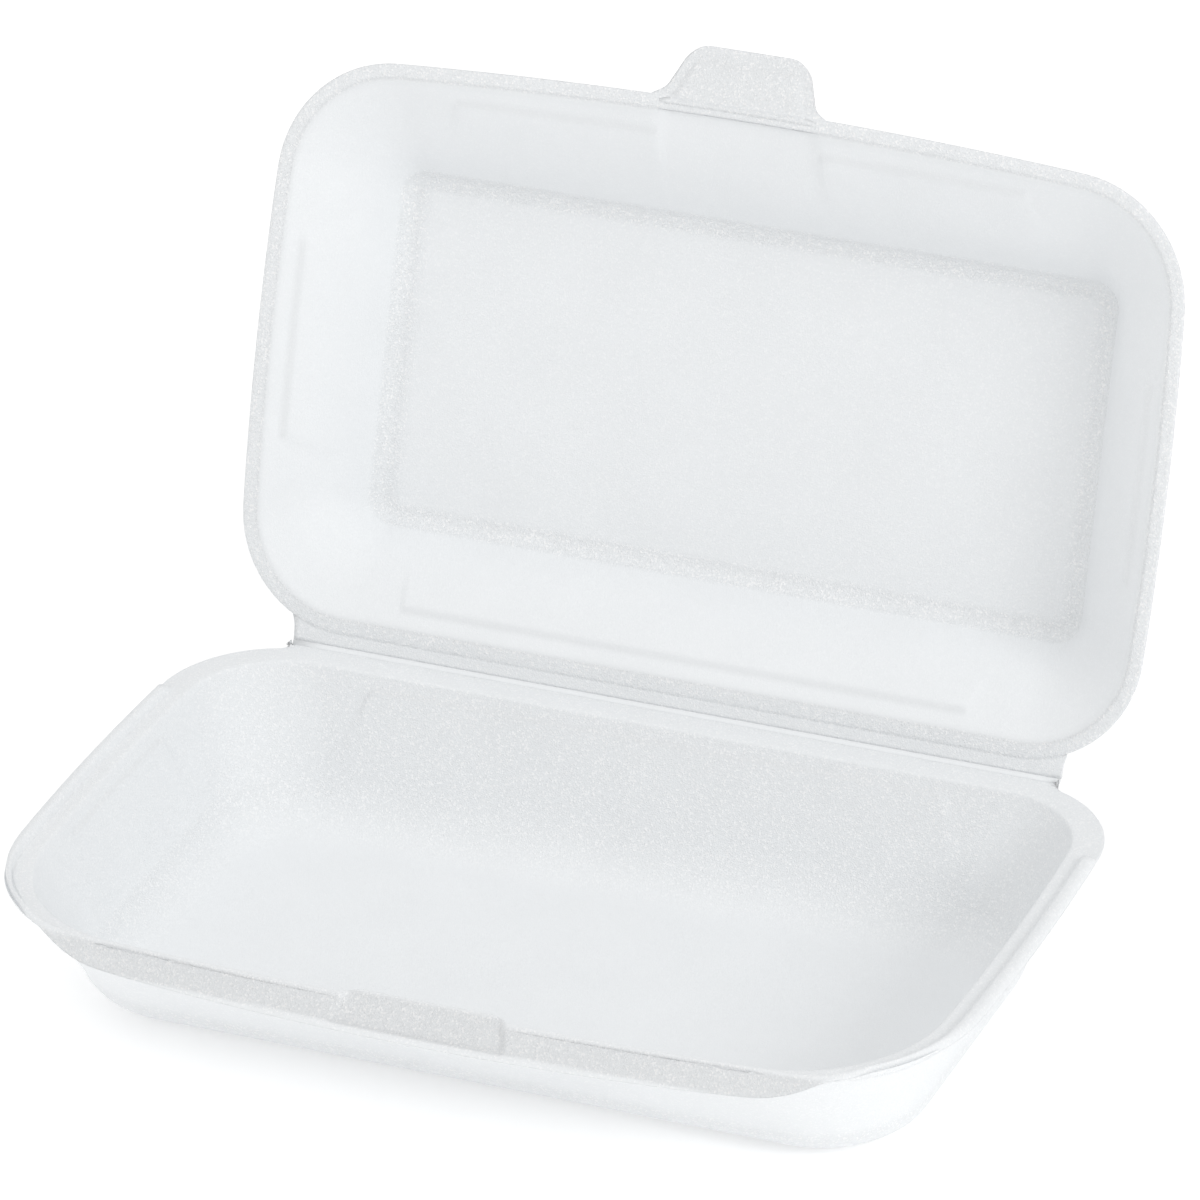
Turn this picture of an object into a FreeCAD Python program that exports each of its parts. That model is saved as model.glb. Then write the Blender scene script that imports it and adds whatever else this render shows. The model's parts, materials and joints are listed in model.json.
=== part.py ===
"""Foam clamshell container: one pressed sheet of foam, split at its hinge crease into tray and lid.

Frame: +Z up, X along the hinge, the front towards -Y, origin at the middle of the floor's underside.
The tray is drawn where it stands. The lid is drawn closed over it and then turned open on the crease.
"""
import FreeCAD, Part
import math
import os
import Sketcher

DRIVING_SIZES = {
    # where the rim and the crease are
    "rim_height": 36.5,
    "hinge_y": 73.5,
    "open_angle": 110.0,
    "mating_gap": 0.1,
    # thicknesses of the pressed sheet
    "floor_thick": 2.2,
    "flange_thick": 1.6,
    "wall_run": 1.8,
    "lid_wall_run": 3.0,
    "strip_thick": 1.1,
    # tray flange, seen from above
    "tray_half_width": 123.1,
    "tray_rear_gap": 2.0,
    "tray_reach": 155.5,
    "tray_rear_corner": 30.0,
    "tray_front_corner": 44.0,
    "tray_side_radius": 785.0,
    "tray_front_bow": 9.6,
    "side_middle": 74.0,
    "blank_depth": 14.0,
    # tray mouth, inside the flange
    "tray_flat_side": 3.7,
    "tray_flange_rear": 6.0,
    "mouth_rear_corner": 24.0,
    "mouth_front_corner": 36.0,
    "ridge_reach": 149.2,
    "ridge_land": 0.9,
    "ridge_bow": 4.95,
    # tray floor
    "floor_side_inset": 15.0,
    "floor_rear": 27.3,
    "floor_front": 119.8,
    "floor_corner": 20.0,
    "knee_height": 12.5,
    "foot_inset": 8.0,
    "foot_run": 1.3,
    "knee_run": 2.4,
    # front lip
    "lip_run": 4.6,
    "lip_fall": 5.4,
    "ledge_run": 12.0,
    "ledge_fall": 5.2,
    # tab seat in the lip
    "seat_half_width": 19.2,
    "seat_flare": 3.4,
    "seat_shift": 2.8,
    "seat_foot": 14.0,
    "seat_fall": 6.3,
    "seat_thick": 2.1,
    # beads on the side flanges
    "bead_width": 4.1,
    "bead_height": 1.8,
    "bead_start": 32.4,
    "bead_fade": 14.0,
    "bead_slope": 0.7,
    "locating_gap": 0.4,
    # pressed panels in the walls
    "panel_proud": 0.8,
    "panel_fade": 0.2,
    "panel_spare": 1.0,
    "tray_panel_drop": 3.4,
    "front_panel_drop": 6.0,
    "tray_panel_foot": 23.0,
    "tray_panel_end_gap": 48.1,
    "side_panel_half": 25.0,
    "tray_panel_flare": 7.5,
    "lid_panel_drop": 3.0,
    "lid_panel_end_gap": 49.1,
    "lid_panel_flare": 4.0,
    # lid flange, measured as if closed
    "lid_rear_gap": 3.9,
    "lid_reach": 148.3,
    "lid_rear_corner": 29.0,
    "lid_front_corner": 31.0,
    "lid_side_radius": 905.0,
    "lid_front_bow": 5.65,
    "lid_flange_width": 3.6,
    # lid shoulder and ceiling
    "shoulder_depth": 6.5,
    "shoulder_inset": 9.0,
    "shoulder_corner": 20.0,
    "waist_depth": 14.5,
    "waist_inset": 16.6,
    "waist_corner": 12.5,
    "front_slant": 1.27,
    "ceiling_depth": 25.7,
    "ceiling_side_inset": 26.4,
    "ceiling_rear": 30.2,
    "ceiling_front": 115.6,
    "ceiling_corner": 5.0,
    "ceiling_border": 2.1,
    "brow_drop": 2.0,
    "brow_run": 1.1,
    "top_border": 3.4,
    "top_brow_drop": 2.9,
    "top_brow_run": 1.7,
    "ceiling_thick": 2.2,
    "ceiling_run": 1.5,
    # tab
    "tab_root_half": 20.0,
    "tab_root_flare": 3.0,
    "tab_tip_half": 14.6,
    "tab_length": 13.7,
    "tab_inset": 1.0,
    "tab_tilt": 23.0,
    "tab_corner": 4.0,
    "pad_margin": 3.6,
    "pad_length": 9.4,
    "pad_proud": 0.6,
    "tab_bulge": 2.0,
    "tab_bulge_foot": 10.0,
    # hinge strip
    "strip_end_gap": 24.1,
    "strip_overlap": 2.6,
    "strip_recess": 0.25,
    "half_gap": 0.05,
    "notch_round": 1.4,
    "crease_offset": 0.6,
    "crease_width": 0.4,
    "crease_depth": 0.3,
}

doc = FreeCAD.newDocument("foam_clamshell")
sheet = doc.addObject("Spreadsheet::Sheet", "Sheet")
for row, (alias, value) in enumerate(DRIVING_SIZES.items(), 1):
    sheet.set(f"A{row}", alias.replace("_", " "))
    sheet.set(f"B{row}", str(value))
    sheet.setAlias(f"B{row}", alias)
doc.recompute()


def value_of(expression):
    """the number that an expression on the sheet gives"""
    return float(sheet.evalExpression(expression))


def named(expression):
    """an expression in which each sheet alias is written out in full"""
    words = []
    word = ""
    for mark in expression + " ":
        if mark.isalnum() or mark == "_" or mark == ".":
            word += mark
            continue
        words.append(f"Sheet.{word}" if word in DRIVING_SIZES else word)
        words.append(mark)
        word = ""
    return "".join(words).strip()


def new_body(name):
    """an empty body whose Label is the node's name"""
    body = doc.addObject("PartDesign::Body", name)
    body.Label = name
    return body


def new_feature(body, kind, name):
    """a feature or sketch of a body, named after the body so that no two share a name"""
    return body.newObject(kind, f"{body.Label}_{name}")


def new_sketch(body, name, plane, offset):
    """a sketch on one of the body's own planes, moved along the plane's normal by an expression"""
    sketch = new_feature(body, "Sketcher::SketchObject", name)
    support = next(item for item in body.Origin.OriginFeatures if item.Role == plane)
    sketch.AttachmentSupport = (support, [""])
    sketch.MapMode = "FlatFace"
    sketch.setExpression("AttachmentOffset.Base.z", named(offset))
    return sketch


def bind(sketch, constraint, name, expression):
    """add a dimension to the sketch and bind it to the sheet"""
    index = sketch.addConstraint(constraint)
    sketch.renameConstraint(index, name)
    sketch.setExpression(f"Constraints.{name}", named(expression))
    return index


def arc_between(centre, radius, start, end):
    """a counter-clockwise arc about a centre from one point to another"""
    first = math.atan2(start[1] - centre[1], start[0] - centre[0])
    last = math.atan2(end[1] - centre[1], end[0] - centre[0])
    if last < first:
        last += 2 * math.pi
    circle = Part.Circle(FreeCAD.Vector(centre[0], centre[1], 0), FreeCAD.Vector(0, 0, 1), radius)
    return Part.ArcOfCircle(circle, first, last)


def beyond(origin, through, distance):
    """the point at a distance from origin on the ray through another point"""
    run = math.hypot(through[0] - origin[0], through[1] - origin[1])
    return (
        origin[0] + (through[0] - origin[0]) * distance / run,
        origin[1] + (through[1] - origin[1]) * distance / run,
    )


def rim_centres(sizes):
    """centres of the right side, front, front corner and rear corner arcs of a rim outline"""
    side = (sizes["half_width"] - sizes["side_radius"], sizes["side_y"])
    front = (0.0, sizes["front_y"] + sizes["front_radius"])
    to_side = sizes["side_radius"] - sizes["front_corner"]
    to_front = sizes["front_radius"] - sizes["front_corner"]
    gap = math.hypot(front[0] - side[0], front[1] - side[1])
    along = (to_side ** 2 - to_front ** 2 + gap ** 2) / (2 * gap)
    off = math.sqrt(to_side ** 2 - along ** 2)
    ahead = ((front[0] - side[0]) / gap, (front[1] - side[1]) / gap)
    front_corner = (
        side[0] + ahead[0] * along + ahead[1] * off,
        side[1] + ahead[1] * along - ahead[0] * off,
    )
    rear_y = sizes["rear_y"] - sizes["rear_corner"]
    rear_run = sizes["side_radius"] - sizes["rear_corner"]
    rear_corner = (side[0] + math.sqrt(rear_run ** 2 - (rear_y - side[1]) ** 2), rear_y)
    return side, front, front_corner, rear_corner


def mirrored(point):
    """a point on the other side of the middle plane"""
    return (-point[0], point[1])


def rim_sketch(body, name, level, outline):
    """a closed, tangent rim outline at a level: straight rear, bowed sides and front, round corners"""
    sketch = new_sketch(body, name, "XY_Plane", level)
    sizes = {key: value_of(named(text)) for key, text in outline.items()}
    side, front, front_corner, rear_corner = rim_centres(sizes)
    rear_end = (rear_corner[0], sizes["rear_y"])
    rear_side = beyond(side, rear_corner, sizes["side_radius"])
    front_side = beyond(side, front_corner, sizes["side_radius"])
    front_end = beyond(front, front_corner, sizes["front_radius"])
    start = FreeCAD.Vector(rear_end[0], rear_end[1], 0)
    end = FreeCAD.Vector(-rear_end[0], rear_end[1], 0)
    corner_sizes = (sizes["rear_corner"], sizes["front_corner"])
    sketch.addGeometry([
        Part.LineSegment(start, end),
        arc_between(mirrored(rear_corner), corner_sizes[0], mirrored(rear_end), mirrored(rear_side)),
        arc_between(mirrored(side), sizes["side_radius"], mirrored(rear_side), mirrored(front_side)),
        arc_between(mirrored(front_corner), corner_sizes[1], mirrored(front_side), mirrored(front_end)),
        arc_between(front, sizes["front_radius"], mirrored(front_end), front_end),
        arc_between(front_corner, corner_sizes[1], front_end, front_side),
        arc_between(side, sizes["side_radius"], front_side, rear_side),
        arc_between(rear_corner, corner_sizes[0], rear_side, rear_end),
    ], False)
    line, rear_left, left, front_left, middle, front_right, right, rear_right = range(8)
    for one in range(8):
        sketch.addConstraint(Sketcher.Constraint("Tangent", one, 2, (one + 1) % 8, 1))
    sketch.addConstraint(Sketcher.Constraint("Horizontal", line))
    sketch.addConstraint(Sketcher.Constraint("PointOnObject", middle, 3, -2))
    sketch.addConstraint(Sketcher.Constraint("Symmetric", left, 3, right, 3, -2))
    for one, other in ((rear_left, rear_right), (front_left, front_right), (left, right)):
        sketch.addConstraint(Sketcher.Constraint("Equal", one, other))
    bind(sketch, Sketcher.Constraint("Radius", rear_right, sizes["rear_corner"]),
         "rear_corner", outline["rear_corner"])
    bind(sketch, Sketcher.Constraint("Radius", front_right, sizes["front_corner"]),
         "front_corner", outline["front_corner"])
    bind(sketch, Sketcher.Constraint("Radius", right, sizes["side_radius"]),
         "side_radius", outline["side_radius"])
    bind(sketch, Sketcher.Constraint("Radius", middle, sizes["front_radius"]),
         "front_radius", outline["front_radius"])
    bind(sketch, Sketcher.Constraint("DistanceY", -1, 1, middle, 3, front[1]),
         "front_centre", f"({outline['front_y']}) + ({outline['front_radius']})")
    bind(sketch, Sketcher.Constraint("DistanceX", right, 3, -1, 1, -side[0]),
         "side_centre", f"({outline['side_radius']}) - ({outline['half_width']})")
    bind(sketch, Sketcher.Constraint("DistanceY", right, 3, -1, 1, -side[1]),
         "side_level", f"0 - ({outline['side_y']})")
    bind(sketch, Sketcher.Constraint("DistanceY", -1, 1, line, 1, sizes["rear_y"]),
         "rear_line", outline["rear_y"])
    return sketch


def box_sketch(body, name, level, outline):
    """a closed, tangent outline at a level with straight sides and the same eight edges as a rim"""
    sketch = new_sketch(body, name, "XY_Plane", level)
    sizes = {key: value_of(named(text)) for key, text in outline.items()}
    half, rear, front = sizes["half_width"], sizes["rear_y"], sizes["front_y"]
    back, fore = sizes["rear_corner"], sizes["front_corner"]
    ends = [
        (half - back, rear), (back - half, rear), (-half, rear - back), (-half, front + fore),
        (fore - half, front), (half - fore, front), (half, front + fore), (half, rear - back),
    ]
    centres = {
        1: (back - half, rear - back), 3: (fore - half, front + fore),
        5: (half - fore, front + fore), 7: (half - back, rear - back),
    }
    edges = []
    for one, start in enumerate(ends):
        end = ends[(one + 1) % 8]
        if one in centres:
            edges.append(arc_between(centres[one], back if one in (1, 7) else fore, start, end))
        else:
            edges.append(Part.LineSegment(FreeCAD.Vector(*start, 0), FreeCAD.Vector(*end, 0)))
    sketch.addGeometry(edges, False)
    for one in range(8):
        sketch.addConstraint(Sketcher.Constraint("Tangent", one, 2, (one + 1) % 8, 1))
    for one, way in ((0, "Horizontal"), (2, "Vertical"), (4, "Horizontal"), (6, "Vertical")):
        sketch.addConstraint(Sketcher.Constraint(way, one))
    sketch.addConstraint(Sketcher.Constraint("Equal", 1, 7))
    sketch.addConstraint(Sketcher.Constraint("Equal", 3, 5))
    bind(sketch, Sketcher.Constraint("Radius", 7, back), "rear_corner", outline["rear_corner"])
    bind(sketch, Sketcher.Constraint("Radius", 5, fore), "front_corner", outline["front_corner"])
    bind(sketch, Sketcher.Constraint("DistanceX", -1, 1, 6, 1, half), "right_side", outline["half_width"])
    bind(sketch, Sketcher.Constraint("DistanceX", 2, 1, -1, 1, half), "left_side", outline["half_width"])
    bind(sketch, Sketcher.Constraint("DistanceY", -1, 1, 0, 1, rear), "rear_line", outline["rear_y"])
    bind(sketch, Sketcher.Constraint("DistanceY", -1, 1, 4, 1, front), "front_line", outline["front_y"])
    return sketch


def ring_sketch(body, name, level, outline):
    """the sketch of an outline, bowed where it has side and front radii and straight where not"""
    draw = rim_sketch if "side_radius" in outline else box_sketch
    return draw(body, name, level, outline)


def polygon_sketch(body, name, plane, offset, corners):
    """a closed polygon whose corners are pairs of expressions, each bound to the sheet"""
    sketch = new_sketch(body, name, plane, offset)
    points = [FreeCAD.Vector(value_of(named(a)), value_of(named(b)), 0) for a, b in corners]
    count = len(points)
    sketch.addGeometry([Part.LineSegment(points[k], points[(k + 1) % count]) for k in range(count)], False)
    for k in range(count):
        sketch.addConstraint(Sketcher.Constraint("Coincident", k, 2, (k + 1) % count, 1))
    for k, (across, up) in enumerate(corners):
        bind(sketch, Sketcher.Constraint("DistanceX", -1, 1, k, 1, points[k].x), f"x{k}a", across)
        bind(sketch, Sketcher.Constraint("DistanceY", -1, 1, k, 1, points[k].y), f"y{k}a", up)
    return sketch


def pad(body, name, sketch, length, downwards=False, both_ways=False):
    """a pad of a sketch whose length is bound to the sheet"""
    feature = new_feature(body, "PartDesign::Pad", name)
    feature.Profile = sketch
    feature.Reversed = downwards
    feature.Midplane = both_ways
    feature.setExpression("Length", named(length))
    return feature


def pocket(body, name, sketch, length, upwards=False):
    """a pocket of a sketch, cut downwards or upwards, whose length is bound to the sheet"""
    feature = new_feature(body, "PartDesign::Pocket", name)
    feature.Profile = sketch
    feature.Reversed = upwards
    feature.setExpression("Length", named(length))
    return feature


def loft(body, name, sketches, cut=False, ruled=True):
    """a loft through sketches, added to the body or cut from it"""
    kind = "PartDesign::SubtractiveLoft" if cut else "PartDesign::AdditiveLoft"
    feature = new_feature(body, kind, name)
    feature.Profile = sketches[0]
    feature.Sections = [(sketch, [""]) for sketch in sketches[1:]]
    feature.Ruled = ruled
    return feature


def checked(feature):
    """recompute and return the feature, stopping if it failed"""
    doc.recompute()
    if "Invalid" in feature.State or "Error" in feature.State or feature.Shape.isNull():
        raise RuntimeError(f"{feature.Name} failed: {feature.State}")
    return feature


def edge_names(feature, wanted):
    """the names of the edges of a feature for which wanted(edge) is true"""
    checked(feature)
    names = [f"Edge{k}" for k, edge in enumerate(feature.Shape.Edges, 1) if wanted(edge)]
    if not names:
        raise RuntimeError(f"{feature.Name} has no such edge")
    return names


def fillet(body, name, feature, radius, wanted):
    """round the edges of a feature for which wanted(edge) is true"""
    names = edge_names(feature, wanted)
    rounded = new_feature(body, "PartDesign::Fillet", name)
    rounded.Base = (feature, names)
    rounded.setExpression("Radius", named(radius))
    return checked(rounded)


def chamfer(body, name, feature, size, wanted):
    """slope off the edges of a feature for which wanted(edge) is true"""
    names = edge_names(feature, wanted)
    sloped = new_feature(body, "PartDesign::Chamfer", name)
    sloped.Base = (feature, names)
    sloped.setExpression("Size", named(size))
    return checked(sloped)


# outlines: every value is an expression on the sheet, and y runs from the hinge to the front

def grown(outline, amount):
    """the outline that runs parallel to another, larger by an amount"""
    bigger = {key: f"{text} + {amount}" for key, text in outline.items()}
    if "side_y" in outline:
        bigger["side_y"] = outline["side_y"]
    bigger["front_y"] = f"{outline['front_y']} - ({amount})"
    return bigger


RIDGE_RADIUS = "(tray_half_width ^ 2 / (2 * ridge_bow))"
STRIP_HALF = "(tray_half_width - strip_end_gap)"
TRAY_PANEL_HALF = "(tray_half_width - tray_panel_end_gap)"
LID_PANEL_HALF = "(tray_half_width - lid_panel_end_gap)"
PAST = 10.0
CLEAR = 2.0
NEAR = 0.01
FOOT_STEPS = (1.0, 0.7, 0.35, 0.0)
BORDER_STEPS = (1.0, 0.5, 0.0)

TRAY_RIM = {
    "half_width": "tray_half_width",
    "side_y": "hinge_y - side_middle",
    "rear_y": "hinge_y - tray_rear_gap",
    "front_y": "hinge_y - tray_reach",
    "rear_corner": "tray_rear_corner",
    "front_corner": "tray_front_corner",
    "side_radius": "tray_side_radius",
    "front_radius": "tray_half_width ^ 2 / (2 * tray_front_bow)",
}
TRAY_MOUTH = {
    "half_width": "tray_half_width - bead_width - tray_flat_side",
    "side_y": "hinge_y - side_middle",
    "rear_y": "hinge_y - tray_rear_gap - tray_flange_rear",
    "front_y": "hinge_y - ridge_reach + ridge_land",
    "rear_corner": "mouth_rear_corner",
    "front_corner": "mouth_front_corner",
    "side_radius": "tray_side_radius",
    "front_radius": RIDGE_RADIUS,
}
TRAY_FLOOR = {
    "half_width": f"{TRAY_MOUTH['half_width']} - floor_side_inset",
    "rear_y": "hinge_y - floor_rear",
    "front_y": "hinge_y - floor_front",
    "rear_corner": "floor_corner",
    "front_corner": "floor_corner",
}
TRAY_KNEE = {key: f"({text}) + (({TRAY_MOUTH[key]}) - ({text})) * knee_height / rim_height"
             for key, text in TRAY_FLOOR.items()}
LID_RIM = {
    "half_width": "tray_half_width - bead_width - locating_gap",
    "side_y": "hinge_y - side_middle",
    "rear_y": "hinge_y - lid_rear_gap",
    "front_y": "hinge_y - lid_reach",
    "rear_corner": "lid_rear_corner",
    "front_corner": "lid_front_corner",
    "side_radius": "lid_side_radius",
    "front_radius": "tray_half_width ^ 2 / (2 * lid_front_bow)",
}
LID_MOUTH = grown(LID_RIM, "0 - lid_flange_width")
LID_SHOULDER, LID_WAIST = ({
    "half_width": f"{LID_MOUTH['half_width']} - {name}_inset",
    "rear_y": f"{LID_MOUTH['rear_y']} - {name}_inset",
    "front_y": f"{LID_MOUTH['front_y']} + {name}_inset * front_slant",
    "rear_corner": f"{name}_corner",
    "front_corner": f"{name}_corner",
} for name in ("shoulder", "waist"))
LID_CEILING = {
    "half_width": f"{LID_RIM['half_width']} - ceiling_side_inset",
    "rear_y": "hinge_y - ceiling_rear",
    "front_y": "hinge_y - ceiling_front",
    "rear_corner": "ceiling_corner",
    "front_corner": "ceiling_corner",
}


STRAIGHT = "1000000"


def at_depth(rings, key, depth):
    """how an outline's value runs, as an expression, between the two rings that a depth lies between"""
    lower = next((k for k in range(1, len(rings)) if value_of(named(f"{rings[k][0]} - ({depth})")) > 0),
                 len(rings) - 1)
    (near, first), (far, second) = rings[lower - 1], rings[lower]
    share = f"(({depth}) - ({near})) / (({far}) - ({near}))"
    if key not in second:
        return f"({first[key]}) / (1 - {share})" if key in first else STRAIGHT
    return f"({first[key]}) + (({second[key]}) - ({first[key]})) * {share}"


def round_rings(start, corner, inset, steps):
    """rings that carry a wall round into its floor, along a parabola

    start and corner are a depth and an outline each: the last ring on the wall, and the one where
    wall and floor would meet sharply. The flat floor begins at the inset inside that corner.
    """
    (start_depth, wall_ring), (corner_depth, corner_ring) = start, corner
    rings = []
    for left in steps:
        ring = {key: f"({text}) + (({wall_ring[key]}) - ({text})) * {left ** 2}"
                for key, text in corner_ring.items()}
        depth = f"({corner_depth}) + (({start_depth}) - ({corner_depth})) * {left ** 2}"
        rings.append((depth, grown(ring, f"(0 - {inset} * {(1 - left) ** 2})")))
    return rings


def wall_point(rings, wall, along, depth, inset):
    """a point of a wall at a depth under the mouth, moved by an inset towards the middle"""
    if wall == "rear":
        return along, f"{at_depth(rings, 'rear_y', depth)} - ({inset})"
    if wall == "front":
        bow = f"({along}) ^ 2 / (2 * ({at_depth(rings, 'front_radius', depth)}))"
        return along, f"{at_depth(rings, 'front_y', depth)} + {bow} + ({inset})"
    bow = f"({along}) ^ 2 / (2 * ({at_depth(rings, 'side_radius', depth)}))"
    across = f"{at_depth(rings, 'half_width', depth)} - {bow} - ({inset})"
    side = "" if wall == "right" else "0 - "
    return f"{side}({across})", f"({along}) + hinge_y - side_middle"


def panel_section(body, name, level, rings, wall, stations, depth, insets):
    """a level section of a wall panel: along the wall at one inset and back at the other"""
    corners = [wall_point(rings, wall, along, depth, insets[0]) for along in stations]
    corners += [wall_point(rings, wall, along, depth, insets[1]) for along in reversed(stations)]
    return polygon_sketch(body, name, "XY_Plane", level, corners)


def wall_panel(body, name, level_of, faces, wall, spans, height, way=1):
    """press a panel into a wall, full height at its ledge and fading to its foot

    faces holds, for each of the wall's two faces, its rings, its depths and whether it is cut away
    """
    for face, rings, depths, cut in faces:
        sketches = []
        last = len(depths) - 1
        for number, (span, depth) in enumerate(zip(spans, depths)):
            share = f"({last - number} / {last})"
            proud = f"({way} * ({height} * {share} - panel_fade * (1 - {share})))"
            insets = (proud, f"({-way} * panel_spare)")
            sketches.append(panel_section(body, f"{name}_{face}_{number}", level_of(depth), rings,
                                          wall, span, depth, insets))
        checked(loft(body, f"{name}_{face}", sketches, cut=cut))


def stations_between(start, end, count):
    """evenly spaced places along a wall, as expressions"""
    return [f"({start}) + (({end}) - ({start})) * {k} / {count - 1}" for k in range(count)]


def tray_level(depth):
    """the level at a depth under the tray's rim"""
    return f"rim_height - ({depth})"


def lid_level(depth):
    """the level at a height over the tray's rim, where the closed lid is drawn"""
    return f"rim_height + ({depth})"


def lip_profile(body, name, drop, corners_after):
    """the section of the front lip at a drop square to its faces, closed by other corners"""
    slope = "atan(lip_fall / lip_run)"
    ledge = "atan(ledge_fall / ledge_run)"
    middle = f"(({slope} + {ledge}) / 2)"
    half = f"(({slope} - {ledge}) / 2)"
    ridge = (f"hinge_y - ridge_reach + ({drop}) * tan({slope} / 2)", f"rim_height - ({drop})")
    foot = (
        f"hinge_y - ridge_reach - lip_run + ({drop}) * sin({middle}) / cos({half})",
        f"rim_height - lip_fall - ({drop}) * cos({middle}) / cos({half})",
    )
    end = (f"{foot[0]} - ledge_run", f"{foot[1]} - ledge_fall")
    sketch = polygon_sketch(body, name, "YZ_Plane", "0", [ridge, foot, end] + corners_after(end))
    far_centre = f"hinge_y - ridge_reach + {RIDGE_RADIUS}"
    centre = value_of(named(far_centre))
    axis = sketch.addGeometry(Part.LineSegment(
        FreeCAD.Vector(centre, 0, 0), FreeCAD.Vector(centre, 1, 0)), True)
    sketch.addConstraint(Sketcher.Constraint("Vertical", axis))
    bind(sketch, Sketcher.Constraint("DistanceX", -1, 1, axis, 1, centre), "axis_place",
         far_centre)
    bind(sketch, Sketcher.Constraint("DistanceY", axis, 1, axis, 2, 1.0), "axis_length", "flange_thick")
    sketch.addConstraint(Sketcher.Constraint("PointOnObject", axis, 1, -1))
    return sketch


def lip_groove(body, name, sketch):
    """cut the lip's section round the ridge's far centre, so that the lip follows the bowed front"""
    groove = new_feature(body, "PartDesign::Groove", name)
    groove.Profile = sketch
    groove.ReferenceAxis = (sketch, ["Axis0"])
    groove.Midplane = True
    groove.setExpression("Angle", named(f"2 * asin((tray_half_width + {PAST}) / {RIDGE_RADIUS})"))
    return checked(groove)


def edges_at(level):
    """a test for edges that lie at a level"""
    def wanted(edge):
        box = edge.BoundBox
        return max(abs(box.ZMin - level), abs(box.ZMax - level)) < NEAR
    return wanted


def strip_half(body, name, level, rear_gap, downwards):
    """half of the hinge strip, from the flange to the crease line, with its pressed crease"""
    corners = [
        (f"0 - {STRIP_HALF}", "hinge_y - half_gap"),
        (f"0 - {STRIP_HALF}", f"hinge_y - {rear_gap} - strip_overlap"),
        (STRIP_HALF, f"hinge_y - {rear_gap} - strip_overlap"),
        (STRIP_HALF, "hinge_y - half_gap"),
    ]
    outline = polygon_sketch(body, f"{name}_outline", "XY_Plane", level, corners)
    strip = pad(body, name, outline, "strip_thick", downwards=downwards)
    root = value_of(named(f"hinge_y - {rear_gap}"))
    reach = value_of("Sheet.strip_overlap")
    half = value_of(named(STRIP_HALF))

    def is_notch(edge):
        box = edge.BoundBox
        upright = box.ZLength > NEAR and box.XLength < NEAR and box.YLength < NEAR
        return upright and root - reach < box.YMin < root + NEAR and abs(abs(box.XMin) - half) < NEAR

    fillet(body, f"{name}_notches", strip, "notch_round", is_notch)
    crease = [
        (f"0 - {STRIP_HALF} - {CLEAR}", "hinge_y - crease_offset"),
        (f"0 - {STRIP_HALF} - {CLEAR}", "hinge_y - crease_offset - crease_width"),
        (f"{STRIP_HALF} + {CLEAR}", "hinge_y - crease_offset - crease_width"),
        (f"{STRIP_HALF} + {CLEAR}", "hinge_y - crease_offset"),
    ]
    line = polygon_sketch(body, f"{name}_crease_outline", "XY_Plane", level, crease)
    checked(pocket(body, f"{name}_crease", line, "crease_depth", upwards=not downwards))


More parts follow.
